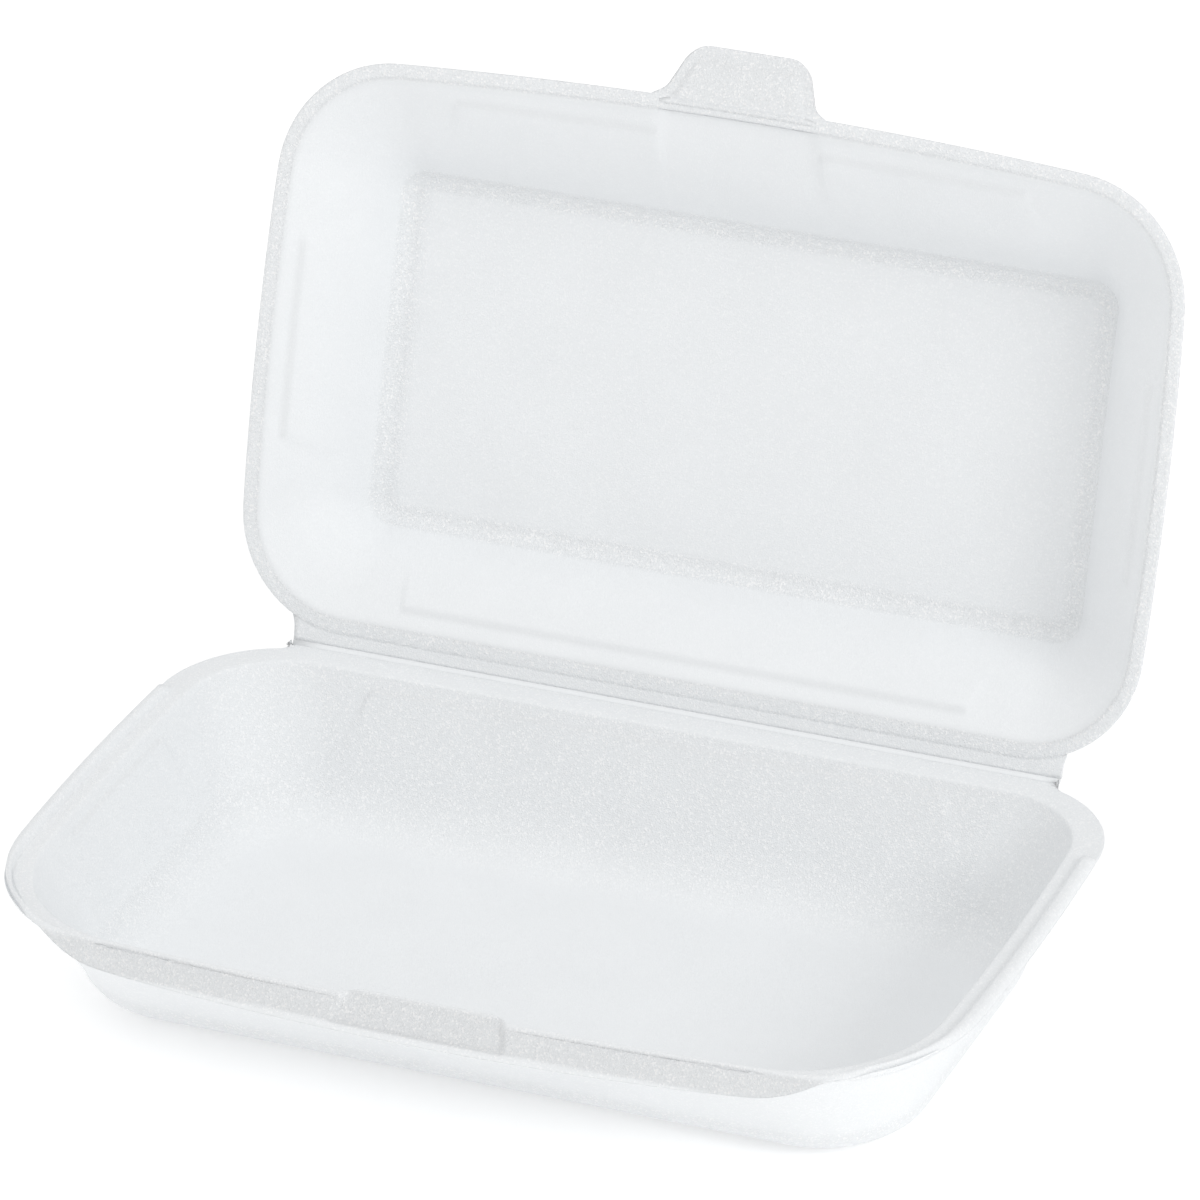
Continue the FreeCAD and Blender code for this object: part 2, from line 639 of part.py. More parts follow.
def build_tray():
    """the deep base: flange with locating beads, dipping front lip, tab seat, bowl and hinge half"""
    body = new_body("tray")
    top = "rim_height + bead_height"
    knee_depth = "rim_height - knee_height"
    inner_rings = [("0", TRAY_MOUTH)] + round_rings(
        (knee_depth, TRAY_KNEE), ("rim_height - floor_thick", TRAY_FLOOR), "foot_inset", FOOT_STEPS)
    outer_rings = [("flange_thick / 2", grown(TRAY_MOUTH, "wall_run"))] + round_rings(
        (knee_depth, grown(TRAY_KNEE, "knee_run")), ("rim_height", grown(TRAY_FLOOR, "foot_run")),
        "foot_inset", FOOT_STEPS)

    # flange and lip
    checked(pad(body, "rim_blank", rim_sketch(body, "rim_outline", top, TRAY_RIM),
                "blank_depth + bead_height", downwards=True))
    # beads: what is left of the rim outside the place where the lid lands
    checked(pocket(body, "lid_landing", rim_sketch(
        body, "lid_landing_outline", top, grown(LID_RIM, "locating_gap")), "bead_height"))
    behind = polygon_sketch(body, "bead_end_outline", "XY_Plane", top, [
        (f"0 - tray_half_width - {PAST}", "hinge_y - bead_start"),
        (f"tray_half_width + {PAST}", "hinge_y - bead_start"),
        (f"tray_half_width + {PAST}", f"hinge_y + {PAST}"),
        (f"0 - tray_half_width - {PAST}", f"hinge_y + {PAST}"),
    ])
    ends = checked(pocket(body, "bead_end", behind, "bead_height"))
    chamfer(body, "bead_slope", ends, "bead_slope", edges_at(value_of(named(top))))

    # sheet of the flange and the bowl's outside, then the lip's top face
    lip_groove(body, "flange_underside", lip_profile(
        body, "flange_underside_section", "flange_thick",
        lambda end: [
            (end[0], f"rim_height - blank_depth - {CLEAR}"),
            (f"hinge_y + {PAST}", f"rim_height - blank_depth - {CLEAR}"),
            (f"hinge_y + {PAST}", "rim_height - flange_thick"),
        ]))
    checked(loft(body, "bowl_outside", [
        ring_sketch(body, f"bowl_outside_{number}", tray_level(depth), ring)
        for number, (depth, ring) in enumerate(outer_rings)]))
    lip_groove(body, "lip_top", lip_profile(
        body, "lip_top_section", "0",
        lambda end: [
            (end[0], f"rim_height + bead_height + {CLEAR}"),
            ("hinge_y - ridge_reach + bead_fade", f"rim_height + bead_height + {CLEAR}"),
        ]))

    # bowl
    checked(loft(body, "cavity", [
        ring_sketch(body, f"cavity_{number}", tray_level(depth), ring)
        for number, (depth, ring) in enumerate(inner_rings)], cut=True))

    # seat for the tab
    wall_foot = wall_point(inner_rings, "front", "0", "rim_height - seat_foot", "0")[1]
    seat_slope = "seat_fall / (seat_shift + lip_run)"
    block = polygon_sketch(body, "seat_block_section", "YZ_Plane", "0", [
        ("hinge_y - ridge_reach + ridge_land + seat_shift", "rim_height"),
        (f"{wall_foot} - seat_thick / 3", "seat_foot"),
        (f"{wall_foot} - 2 * seat_thick / 3", "seat_foot"),
        ("hinge_y - ridge_reach + lip_run / 2 - seat_thick / 2",
         f"rim_height - seat_thick - (seat_shift - lip_run / 2 + seat_thick / 2) * {seat_slope}"),
        ("hinge_y - ridge_reach - lip_run", "rim_height - seat_fall - seat_thick"),
        ("hinge_y - ridge_reach - lip_run", "rim_height - lip_fall"),
        ("hinge_y - ridge_reach", "rim_height"),
    ])
    checked(pad(body, "seat_block", block, "2 * (seat_half_width + seat_flare / 3)", both_ways=True))
    seat_ends = []
    for number, (reach, half, drop) in enumerate((
            (f"ridge_reach - ridge_land - seat_shift - {CLEAR}", "seat_half_width",
             f"(0 - (ridge_land + {CLEAR}) * {seat_slope})"),
            ("ridge_reach + lip_run", "seat_half_width + seat_flare", "seat_fall"))):
        seat_ends.append(polygon_sketch(body, f"seat_{number}", "XZ_Plane", f"{reach} - hinge_y", [
            (f"0 - ({half})", f"rim_height - {drop}"),
            (half, f"rim_height - {drop}"),
            (half, f"rim_height + bead_height + {CLEAR}"),
            (f"0 - ({half})", f"rim_height + bead_height + {CLEAR}"),
        ]))
    checked(loft(body, "seat", seat_ends, cut=True))

    # pressed panels
    depths = ("tray_panel_drop", "tray_panel_foot")
    faces = (("hollow", outer_rings, depths, True), ("face", inner_rings, depths, False))
    long_spans = [stations_between(f"0 - ({half})", half, 2)
                  for half in (TRAY_PANEL_HALF, f"{TRAY_PANEL_HALF} + tray_panel_flare")]
    wall_panel(body, "rear_panel", tray_level, faces, "rear", long_spans, "panel_proud")
    side_spans = [stations_between(f"0 - ({half})", half, 3)
                  for half in ("side_panel_half", "side_panel_half + tray_panel_flare / 2")]
    for side in ("right", "left"):
        wall_panel(body, f"{side}_panel", tray_level, faces, side, side_spans, "panel_proud")
    front_depths = ("front_panel_drop", "tray_panel_foot")
    front_faces = (("hollow", outer_rings, front_depths, True), ("face", inner_rings, front_depths, False))
    for side, sign in (("front_right", ""), ("front_left", "0 - ")):
        spans = [stations_between(f"{sign}(seat_half_width + seat_flare)", f"{sign}({half})", 3)
                 for half in (TRAY_PANEL_HALF, f"{TRAY_PANEL_HALF} + tray_panel_flare / 2")]
        wall_panel(body, f"{side}_panel", tray_level, front_faces, "front", spans, "panel_proud")

    strip_half(body, "hinge_half", "rim_height - strip_recess", "tray_rear_gap", downwards=True)
    return body


def tab_section(body, name, reach, half, low, high):
    """an upright cross-section of the tab at a distance from the hinge"""
    return polygon_sketch(body, name, "XZ_Plane", f"{reach} - hinge_y", [
        (f"0 - ({half})", f"rim_height + {low}"),
        (half, f"rim_height + {low}"),
        (half, f"rim_height + {high}"),
        (f"0 - ({half})", f"rim_height + {high}"),
    ])


def build_lid():
    """the shallow cover, drawn closed: flange, curved walls, ceiling, closing tab and hinge half"""
    body = new_body("lid")
    inner_rings = [("mating_gap", LID_MOUTH), ("shoulder_depth", LID_SHOULDER),
                   ("waist_depth", LID_WAIST)] + round_rings(
        ("ceiling_depth - brow_drop", grown(LID_CEILING, "brow_run")),
        ("ceiling_depth", LID_CEILING), "ceiling_border", BORDER_STEPS)
    outer_rings = [("mating_gap + flange_thick / 2", grown(LID_MOUTH, "lid_wall_run")),
                   ("shoulder_depth", grown(LID_SHOULDER, "lid_wall_run")),
                   ("waist_depth", grown(LID_WAIST, "lid_wall_run"))] + round_rings(
        ("ceiling_depth + ceiling_thick - top_brow_drop", grown(LID_CEILING, "ceiling_run + top_brow_run")),
        ("ceiling_depth + ceiling_thick", grown(LID_CEILING, "ceiling_run")), "top_border", BORDER_STEPS)

    # flange and shell
    checked(pad(body, "flange", rim_sketch(body, "flange_outline", lid_level("mating_gap"), LID_RIM),
                "flange_thick"))
    checked(loft(body, "shell_outside", [
        ring_sketch(body, f"shell_outside_{number}", lid_level(depth), ring)
        for number, (depth, ring) in enumerate(outer_rings)]))
    checked(loft(body, "shell_inside", [
        ring_sketch(body, f"shell_inside_{number}", lid_level(depth), ring)
        for number, (depth, ring) in enumerate(inner_rings)], cut=True))

    # tab: a tapered tongue that slopes up from the flange, with a raised pad inside
    tilt = "tan(tab_tilt)"
    start = "lid_reach - tab_inset"
    tongue = []
    for number, (run, half) in enumerate((
            ("0 - tab_inset", "tab_root_half + tab_root_flare"),
            ("0", "tab_root_half + tab_root_flare"),
            ("tab_root_flare", "tab_root_half"),
            ("tab_length * cos(tab_tilt)", "tab_tip_half"))):
        rise = "0" if number == 0 else f"({run}) * {tilt}"
        low = f"mating_gap + {rise}"
        tongue.append(tab_section(body, f"tab_{number}", f"{start} + {run}", half, low,
                                  f"{low} + flange_thick / cos(tab_tilt)"))
    whole = checked(loft(body, "tab", tongue))
    tip_y = value_of(named(f"hinge_y - ({start} + tab_length * cos(tab_tilt))"))

    def is_tip_corner(edge):
        box = edge.BoundBox
        return box.XLength < NEAR and abs(box.YMin - tip_y) < NEAR and abs(box.YMax - tip_y) < NEAR

    fillet(body, "tab_tip_corners", whole, "tab_corner", is_tip_corner)
    pad_ends = []
    for number, (run, half) in enumerate((
            ("tab_inset + 0.3", "tab_root_half - pad_margin"),
            ("pad_length * cos(tab_tilt)", "tab_tip_half - pad_margin / 2"))):
        rise = f"({run}) * {tilt}"
        pad_ends.append(tab_section(body, f"tab_pad_{number}", f"{start} + {run}", half,
                                    f"mating_gap + {rise} - pad_proud / cos(tab_tilt)",
                                    f"mating_gap + {rise} + flange_thick / 2"))
    checked(loft(body, "tab_pad", pad_ends))

    # swelling under the tab, then the pressed panels
    middle = "(mating_gap + tab_bulge_foot) / 2"
    bulge_faces = (
        ("swell", outer_rings, ("mating_gap + flange_thick / 2", middle, "tab_bulge_foot"), False),
        ("hollow", inner_rings, ("mating_gap", middle, "tab_bulge_foot"), True),
    )
    bulge_spans = [stations_between(f"0 - ({half})", half, 3) for half in (
        "tab_root_half - half_gap", "tab_root_half - panel_fade", "tab_root_half - 2 * panel_fade")]
    wall_panel(body, "tab_bulge", lid_level, bulge_faces, "front", bulge_spans, "tab_bulge", way=-1)
    depths = ("lid_panel_drop", "shoulder_depth", "waist_depth")
    faces = (("hollow", outer_rings, depths, True), ("face", inner_rings, depths, False))
    flares = ("0", "lid_panel_flare / 2", "lid_panel_flare")
    wall_panel(body, "rear_panel", lid_level, faces, "rear",
               [stations_between(f"0 - ({LID_PANEL_HALF} + {flare})", f"{LID_PANEL_HALF} + {flare}", 2)
                for flare in flares], "panel_proud")
    for side in ("right", "left"):
        wall_panel(body, f"{side}_panel", lid_level, faces, side,
                   [stations_between(f"0 - (side_panel_half + {flare})", f"side_panel_half + {flare}", 3)
                    for flare in flares], "panel_proud")
    for side, sign in (("front_right", ""), ("front_left", "0 - ")):
        ends = [f"{sign}({LID_PANEL_HALF} + {flare})" for flare in flares]
        wall_panel(body, f"{side}_panel", lid_level, faces, "front",
                   [stations_between(f"{sign}(tab_root_half + panel_spare)", end, 3) for end in ends],
                   "panel_proud")

    strip_half(body, "hinge_half", lid_level("mating_gap + strip_recess"), "lid_rear_gap", downwards=False)

    # turn the closed lid open about the crease
    body.Placement = FreeCAD.Placement(
        FreeCAD.Vector(0, 0, 0), FreeCAD.Rotation(FreeCAD.Vector(-1, 0, 0), DRIVING_SIZES["open_angle"]))
    body.setExpression("Placement.Rotation.Angle", "Sheet.open_angle")
    body.setExpression("Placement.Base.y", named(
        "hinge_y - hinge_y * cos(open_angle) - rim_height * sin(open_angle)"))
    body.setExpression("Placement.Base.z", named(
        "rim_height + hinge_y * sin(open_angle) - rim_height * cos(open_angle)"))
    return body


def export(body):
    """write a body to its own file, once its shape is whole"""
    shape = body.Shape
    if shape.isNull() or not shape.isValid() or len(shape.Solids) != 1:
        raise RuntimeError(f"{body.Label} is not one valid solid")
    shape.exportStep(f"parts/{body.Label}.step")


bodies = [build_tray(), build_lid()]
doc.recompute()
for item in doc.Objects:
    if "Invalid" in item.State or "Error" in item.State:
        raise RuntimeError(f"{item.Name} failed: {item.State}")
os.makedirs("parts", exist_ok=True)
for body in bodies:
    export(body)
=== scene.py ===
"""Dresses the foam clamshell container over its CAD frame and lights it as in the photograph.

The tray and the lid are modelled as sheets of foam, ring by ring: each ring runs once round the
outline, and the next ring is extruded from it. The lid is drawn closed over the tray and then
turned open about the crease. All forms are in millimetres: x along the hinge, v from the hinge
towards the front, and rise above the rim for the tray or depth into the lid.
"""
from __future__ import annotations

import json
import logging
import math
from dataclasses import dataclass, field, replace
from enum import Enum
from typing import Callable, Sequence

import bmesh
import bpy
from mathutils import Matrix, Vector

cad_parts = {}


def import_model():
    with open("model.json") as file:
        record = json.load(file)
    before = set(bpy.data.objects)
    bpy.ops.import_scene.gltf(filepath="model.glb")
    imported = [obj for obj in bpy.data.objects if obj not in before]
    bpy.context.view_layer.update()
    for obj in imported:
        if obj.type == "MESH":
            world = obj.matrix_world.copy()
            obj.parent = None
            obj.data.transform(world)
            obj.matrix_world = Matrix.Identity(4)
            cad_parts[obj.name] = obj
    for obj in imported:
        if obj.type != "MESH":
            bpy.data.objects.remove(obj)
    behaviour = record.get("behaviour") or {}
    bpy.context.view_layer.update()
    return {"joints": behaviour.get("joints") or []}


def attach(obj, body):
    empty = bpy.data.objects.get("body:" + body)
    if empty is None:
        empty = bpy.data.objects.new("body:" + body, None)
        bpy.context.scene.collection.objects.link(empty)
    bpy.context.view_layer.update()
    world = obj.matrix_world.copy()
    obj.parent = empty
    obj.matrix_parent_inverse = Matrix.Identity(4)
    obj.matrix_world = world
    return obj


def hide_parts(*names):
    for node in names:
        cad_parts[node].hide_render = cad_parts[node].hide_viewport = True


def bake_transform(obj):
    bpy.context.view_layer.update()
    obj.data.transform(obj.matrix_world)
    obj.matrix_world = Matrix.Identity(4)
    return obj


log = logging.getLogger("clamshell")

MM = 0.001
# Vertex layer that weights the painted glints in the colour, together with the random speckle, the bump and
# the glints' gloss.
SHINE_LAYER = "shine"
# Vertex layer of painted shade: it darkens the foam's colour on the lip's slope, the tab's seat, the lid's
# flange and tab, and along the panels' ledges and the lid's inner edge.
PAINTED_SHADE_LAYER = "painted_shade"
SHEET_GROUP = "sheet"
STRAIGHT = 1.0e5
THICKEST = 4.4
THINNEST_SHARE = 0.05
HALVINGS = 24
MIX_FIRST = 6
MIX_SECOND = 7
MIX_RESULT = 2
WHITE = (1.0, 1.0, 1.0, 1.0)


def clamp(value: float, low: float = 0.0, high: float = 1.0) -> float:
    """Keep a value between two limits."""
    return max(low, min(high, value))


def smooth(edge: float, width: float, value: float) -> float:
    """Rise smoothly from 0 to 1 over a width centred on an edge."""
    share = clamp((value - edge) / width + 0.5)
    return share * share * (3.0 - 2.0 * share)


def mix(first: float, second: float, share: float) -> float:
    """Blend two numbers."""
    return first + (second - first) * share


def soft_ramp(value: float, radius: float) -> float:
    """A ramp that is 0 below 0 and the value itself above, with its bend rounded over a radius."""
    return 0.5 * (value + math.sqrt(value * value + radius * radius))


class Part(Enum):
    """The stretches of half an outline, from the middle of the rear to the middle of the front."""

    REAR = 0
    REAR_CORNER = 1
    SIDE = 2
    FRONT_CORNER = 3
    FRONT = 4


@dataclass(frozen=True)
class Station:
    """A place on half an outline: its stretch, and the share of the way along it."""

    part: Part
    share: float


@dataclass(frozen=True)
class Outline:
    """A closed outline seen from above: straight rear, bowed sides and front, round corners."""

    half_width: float
    rear: float
    front: float
    rear_corner: float
    front_corner: float
    side_radius: float = STRAIGHT
    front_radius: float = STRAIGHT
    side_middle: float = 74.0

    def grown(self, amount: float) -> "Outline":
        """The outline that runs parallel to this one, larger by an amount."""
        return replace(
            self,
            half_width=self.half_width + amount,
            rear=self.rear - amount,
            front=self.front + amount,
            rear_corner=self.rear_corner + amount,
            front_corner=self.front_corner + amount,
            side_radius=self.side_radius + amount,
            front_radius=self.front_radius + amount,
        )

    def point(self, station: Station) -> tuple[float, float]:
        """Where a station lies.

        Args:
            station: the place on the right half of the outline.

        Returns:
            x and v in millimetres.
        """
        side_x, front_v, (rear_x, rear_v), (corner_x, corner_v) = self._centres()
        rear_turn = math.atan2(rear_v - self.side_middle, rear_x - side_x)
        side_turn = math.atan2(corner_v - self.side_middle, corner_x - side_x)
        front_turn = math.atan2(corner_v - front_v, corner_x)
        share = station.share
        quarter = math.pi / 2
        if station.part is Part.REAR:
            return rear_x * share, self.rear
        if station.part is Part.REAR_CORNER:
            return self._on_arc(rear_x, rear_v, self.rear_corner, mix(-quarter, rear_turn, share))
        if station.part is Part.SIDE:
            turn = mix(rear_turn, side_turn, share)
            return self._on_arc(side_x, self.side_middle, self.side_radius, turn)
        if station.part is Part.FRONT_CORNER:
            return self._on_arc(corner_x, corner_v, self.front_corner, mix(side_turn, front_turn, share))
        return self._on_arc(0.0, front_v, self.front_radius, mix(front_turn, quarter, share))

    def contains(self, x: float, v: float) -> bool:
        """Whether a point of the right half lies inside the outline."""
        side_x, front_v, (rear_x, rear_v), (corner_x, corner_v) = self._centres()
        if v < rear_v and x > rear_x:
            return math.hypot(x - rear_x, v - rear_v) < self.rear_corner
        if v > corner_v and x > corner_x:
            return math.hypot(x - corner_x, v - corner_v) < self.front_corner
        in_side = math.hypot(x - side_x, v - self.side_middle) < self.side_radius
        return v > self.rear and in_side and math.hypot(x, v - front_v) < self.front_radius

    def _centres(self) -> tuple[float, float, tuple[float, float], tuple[float, float]]:
        """The side's centre in x, the front's in v, and the centres of the two corners."""
        side_x = self.half_width - self.side_radius
        front_v = self.front - self.front_radius
        rear_v = self.rear + self.rear_corner
        rear_run = self.side_radius - self.rear_corner
        rear_x = side_x + math.sqrt(rear_run ** 2 - (rear_v - self.side_middle) ** 2)
        to_side = self.side_radius - self.front_corner
        to_front = self.front_radius - self.front_corner
        gap_x = -side_x
        gap_v = front_v - self.side_middle
        gap = math.hypot(gap_x, gap_v)
        along = (to_side ** 2 - to_front ** 2 + gap ** 2) / (2 * gap)
        off = math.sqrt(to_side ** 2 - along ** 2)
        corner = (
            side_x + (gap_x * along - gap_v * off) / gap,
            self.side_middle + (gap_v * along + gap_x * off) / gap,
        )
        return side_x, front_v, (rear_x, rear_v), corner

    @staticmethod
    def _on_arc(centre_x: float, centre_v: float, radius: float, turn: float) -> tuple[float, float]:
        """The point of an arc at an angle."""
        return centre_x + radius * math.cos(turn), centre_v + radius * math.sin(turn)


def spread(part: Part, stretches: Sequence[tuple[float, int]]) -> list[Station]:
    """Stations along one stretch, closer together where the form needs it.

    Args:
        part: the stretch of the outline.
        stretches: pairs of the share at which a run of stations ends and how many it has.

    Returns:
        the stations in order, without the one at the very end.
    """
    stations = []
    start = 0.0
    for end, count in stretches:
        stations += [Station(part, mix(start, end, k / count)) for k in range(count)]
        start = end
    return stations


HALF_STATIONS = (
    spread(Part.REAR, ((0.74, 12), (1.0, 30)))
    + spread(Part.REAR_CORNER, ((1.0, 20),))
    + spread(Part.SIDE, ((1.0, 52),))
    + spread(Part.FRONT_CORNER, ((1.0, 24),))
    + spread(Part.FRONT, ((0.16, 14), (0.66, 16), (1.0, 36)))
    + [Station(Part.FRONT, 1.0)]
)


@dataclass
class Spot:
    """One vertex of a half while it is shaped, with what its shaping needs to know."""

    x: float
    v: float
    level: float
    part: Part
    thickness: float
    shine: float = 0.3
    painted_shade: float = 0.0

    def mirrored(self) -> "Spot":
        """The same spot on the other side of the middle plane."""
        return replace(self, x=-self.x)


Ring = list[Spot]


def full_ring(right_half: Ring) -> Ring:
    """The whole ring of a right half that starts and ends on the middle plane."""
    return right_half + [spot.mirrored() for spot in reversed(right_half[1:-1])]


@dataclass
class SheetMesh:
    """Lays rings of foam into a mesh, each extruded from the one before."""

    name: str
    to_frame: Callable[[Spot], Vector]
    mesh: bmesh.types.BMesh = field(default_factory=bmesh.new)

    def __post_init__(self) -> None:
        """Add the layers that the finish and the sheet's thickness read."""
        self.shine = self.mesh.verts.layers.float.new(SHINE_LAYER)
        self.painted_shade = self.mesh.verts.layers.float.new(PAINTED_SHADE_LAYER)
        self.sheet = self.mesh.verts.layers.deform.verify()

    def set(self, vert: bmesh.types.BMVert, spot: Spot) -> None:
        """Move a vertex to its spot."""
        vert.co = self.to_frame(spot)
        vert[self.shine] = spot.shine
        vert[self.painted_shade] = spot.painted_shade
        vert[self.sheet][0] = spot.thickness / THICKEST

    def start(self, ring: Ring) -> list[bmesh.types.BMVert]:
        """Lay the first ring."""
        verts = bmesh.ops.create_circle(self.mesh, segments=len(ring), radius=MM)["verts"]
        for vert, spot in zip(verts, ring):
            self.set(vert, spot)
        return verts

    def extend(self, verts: list[bmesh.types.BMVert], ring: Ring) -> list[bmesh.types.BMVert]:
        """Extrude a run of vertices to the next ring.

        Args:
            verts: the vertices of the last ring, or of a run of it.
            ring: the spots that their copies move to.

        Returns:
            the new vertices in the same order.
        """
        run = set(verts)
        touching = dict.fromkeys(e for v in verts for e in v.link_edges)
        edges = [e for e in touching if run.issuperset(e.verts)]
        made = bmesh.ops.extrude_edge_only(self.mesh, edges=edges)["geom"]
        fresh = {item for item in made if isinstance(item, bmesh.types.BMVert)}
        following = []
        for vert, spot in zip(verts, ring):
            twin = next(o for o in (e.other_vert(vert) for e in vert.link_edges) if o in fresh)
            self.set(twin, spot)
            following.append(twin)
        return following

    def close(self, verts: list[bmesh.types.BMVert]) -> None:
        """Fill the last, innermost ring."""
        bmesh.ops.contextual_create(self.mesh, geom=verts)

    def finish(self, facing: Vector) -> bpy.types.Object:
        """Turn the faces the right way and give the sheet its thickness.

        Args:
            facing: the way that the seen side of the sheet faces.

        Returns:
            the new object.
        """
        bmesh.ops.recalc_face_normals(self.mesh, faces=self.mesh.faces[:])
        turn = sum((face.normal.dot(facing) * face.calc_area() for face in self.mesh.faces), 0.0)
        if turn < 0:
            bmesh.ops.reverse_faces(self.mesh, faces=self.mesh.faces[:])
        data = bpy.data.meshes.new(self.name)
        for face in self.mesh.faces:
            face.smooth = True
        self.mesh.to_mesh(data)
        self.mesh.free()
        piece = bpy.data.objects.new(self.name, data)
        bpy.context.scene.collection.objects.link(piece)
        piece.vertex_groups.new(name=SHEET_GROUP)
        solid = piece.modifiers.new("sheet", "SOLIDIFY")
        solid.thickness = THICKEST * MM
        solid.offset = -1.0
        solid.vertex_group = SHEET_GROUP
        solid.thickness_vertex_group = THINNEST_SHARE
        solid.use_rim = True
        return piece


@dataclass(frozen=True)
class Panel:
    """A pressed panel of a wall: a ledge under the rim, fading to its foot."""

    part: Part
    start: float
    end: float
    ledge: float
    foot: float
    flare: float
    proud: float = 0.8
    bend: float = 0.8
    line_half: float = 0.45
    line_painted_shade: float = 0.5

    def shape(self, along: float, depth: float) -> tuple[float, float]:
        """How far the panel stands out of the wall, and the painted shade along its ledge there.

        Args:
            along: the distance along the wall from its middle.
            depth: the depth under the rim.

        Returns:
            the height in millimetres, and the painted shade of the ledge's crease there.
        """
        down = clamp((depth - self.ledge) / (self.foot - self.ledge))
        inside = 1.0 - smooth(self.end + self.flare * down, self.bend, along)
        if self.start > 0:
            inside *= smooth(self.start, self.bend, along)
        # A line of painted shade along the ledge, where its crease lies in shadow.
        line = math.exp(-((depth - self.ledge) / self.line_half) ** 2)
        height = self.proud * (1.0 - down) * inside * smooth(self.ledge, self.bend, depth)
        return height, self.line_painted_shade * (inside * line)


def inward(part: Part, spot: Spot, amount: float) -> None:
    """Move a spot from its wall towards the middle."""
    if part is Part.REAR:
        spot.v += amount
    elif part is Part.FRONT:
        spot.v -= amount
    elif part is Part.SIDE:
        spot.x -= amount


def between(first: Outline, second: Outline, station: Station, share: float) -> tuple[float, float]:
    """The point at a share of the way between the same station of two outlines."""
    first_x, first_v = first.point(station)
    second_x, second_v = second.point(station)
    return mix(first_x, second_x, share), mix(first_v, second_v, share)


def press(panels: Sequence[Panel], middle: float, spot: Spot, depth: float) -> None:
    """Press the panels of its wall into a spot, and add the painted shade along their ledges."""
    along = abs(spot.v - middle) if spot.part is Part.SIDE else abs(spot.x)
    for panel in panels:
        if panel.part is spot.part:
            height, line = panel.shape(along, depth)
            inward(spot.part, spot, height)
            spot.painted_shade += line


@dataclass(frozen=True)
class Hinge:
    """The crease: where the axis is, and the strip of thin foam on both sides of it."""

    y: float
    z: float
    half_length: float = 100.5
    notch: float = 2.6
    recess: float = 0.25
    skin_half: float = 0.6
    open_angle: float = math.radians(110.0)
    strip_shine: float = 0.6
    strip_steps: tuple[float, ...] = (0.88, 0.76, 0.6, 0.4, 0.2, 0.0)

    def closed(self, x: float, v: float, rise: float) -> Vector:
        """A point in the frame, of something drawn where it lies when the box is closed."""
        return Vector((x * MM, self.y - v * MM, self.z + rise * MM))

    def opened(self, x: float, v: float, rise: float) -> Vector:
        """A point in the frame, of something on the lid, with the lid turned open."""
        centre = Vector((0.0, self.y, self.z))
        turn = Matrix.Rotation(-self.open_angle, 4, "X")
        return centre + turn @ (self.closed(x, v, rise) - centre)


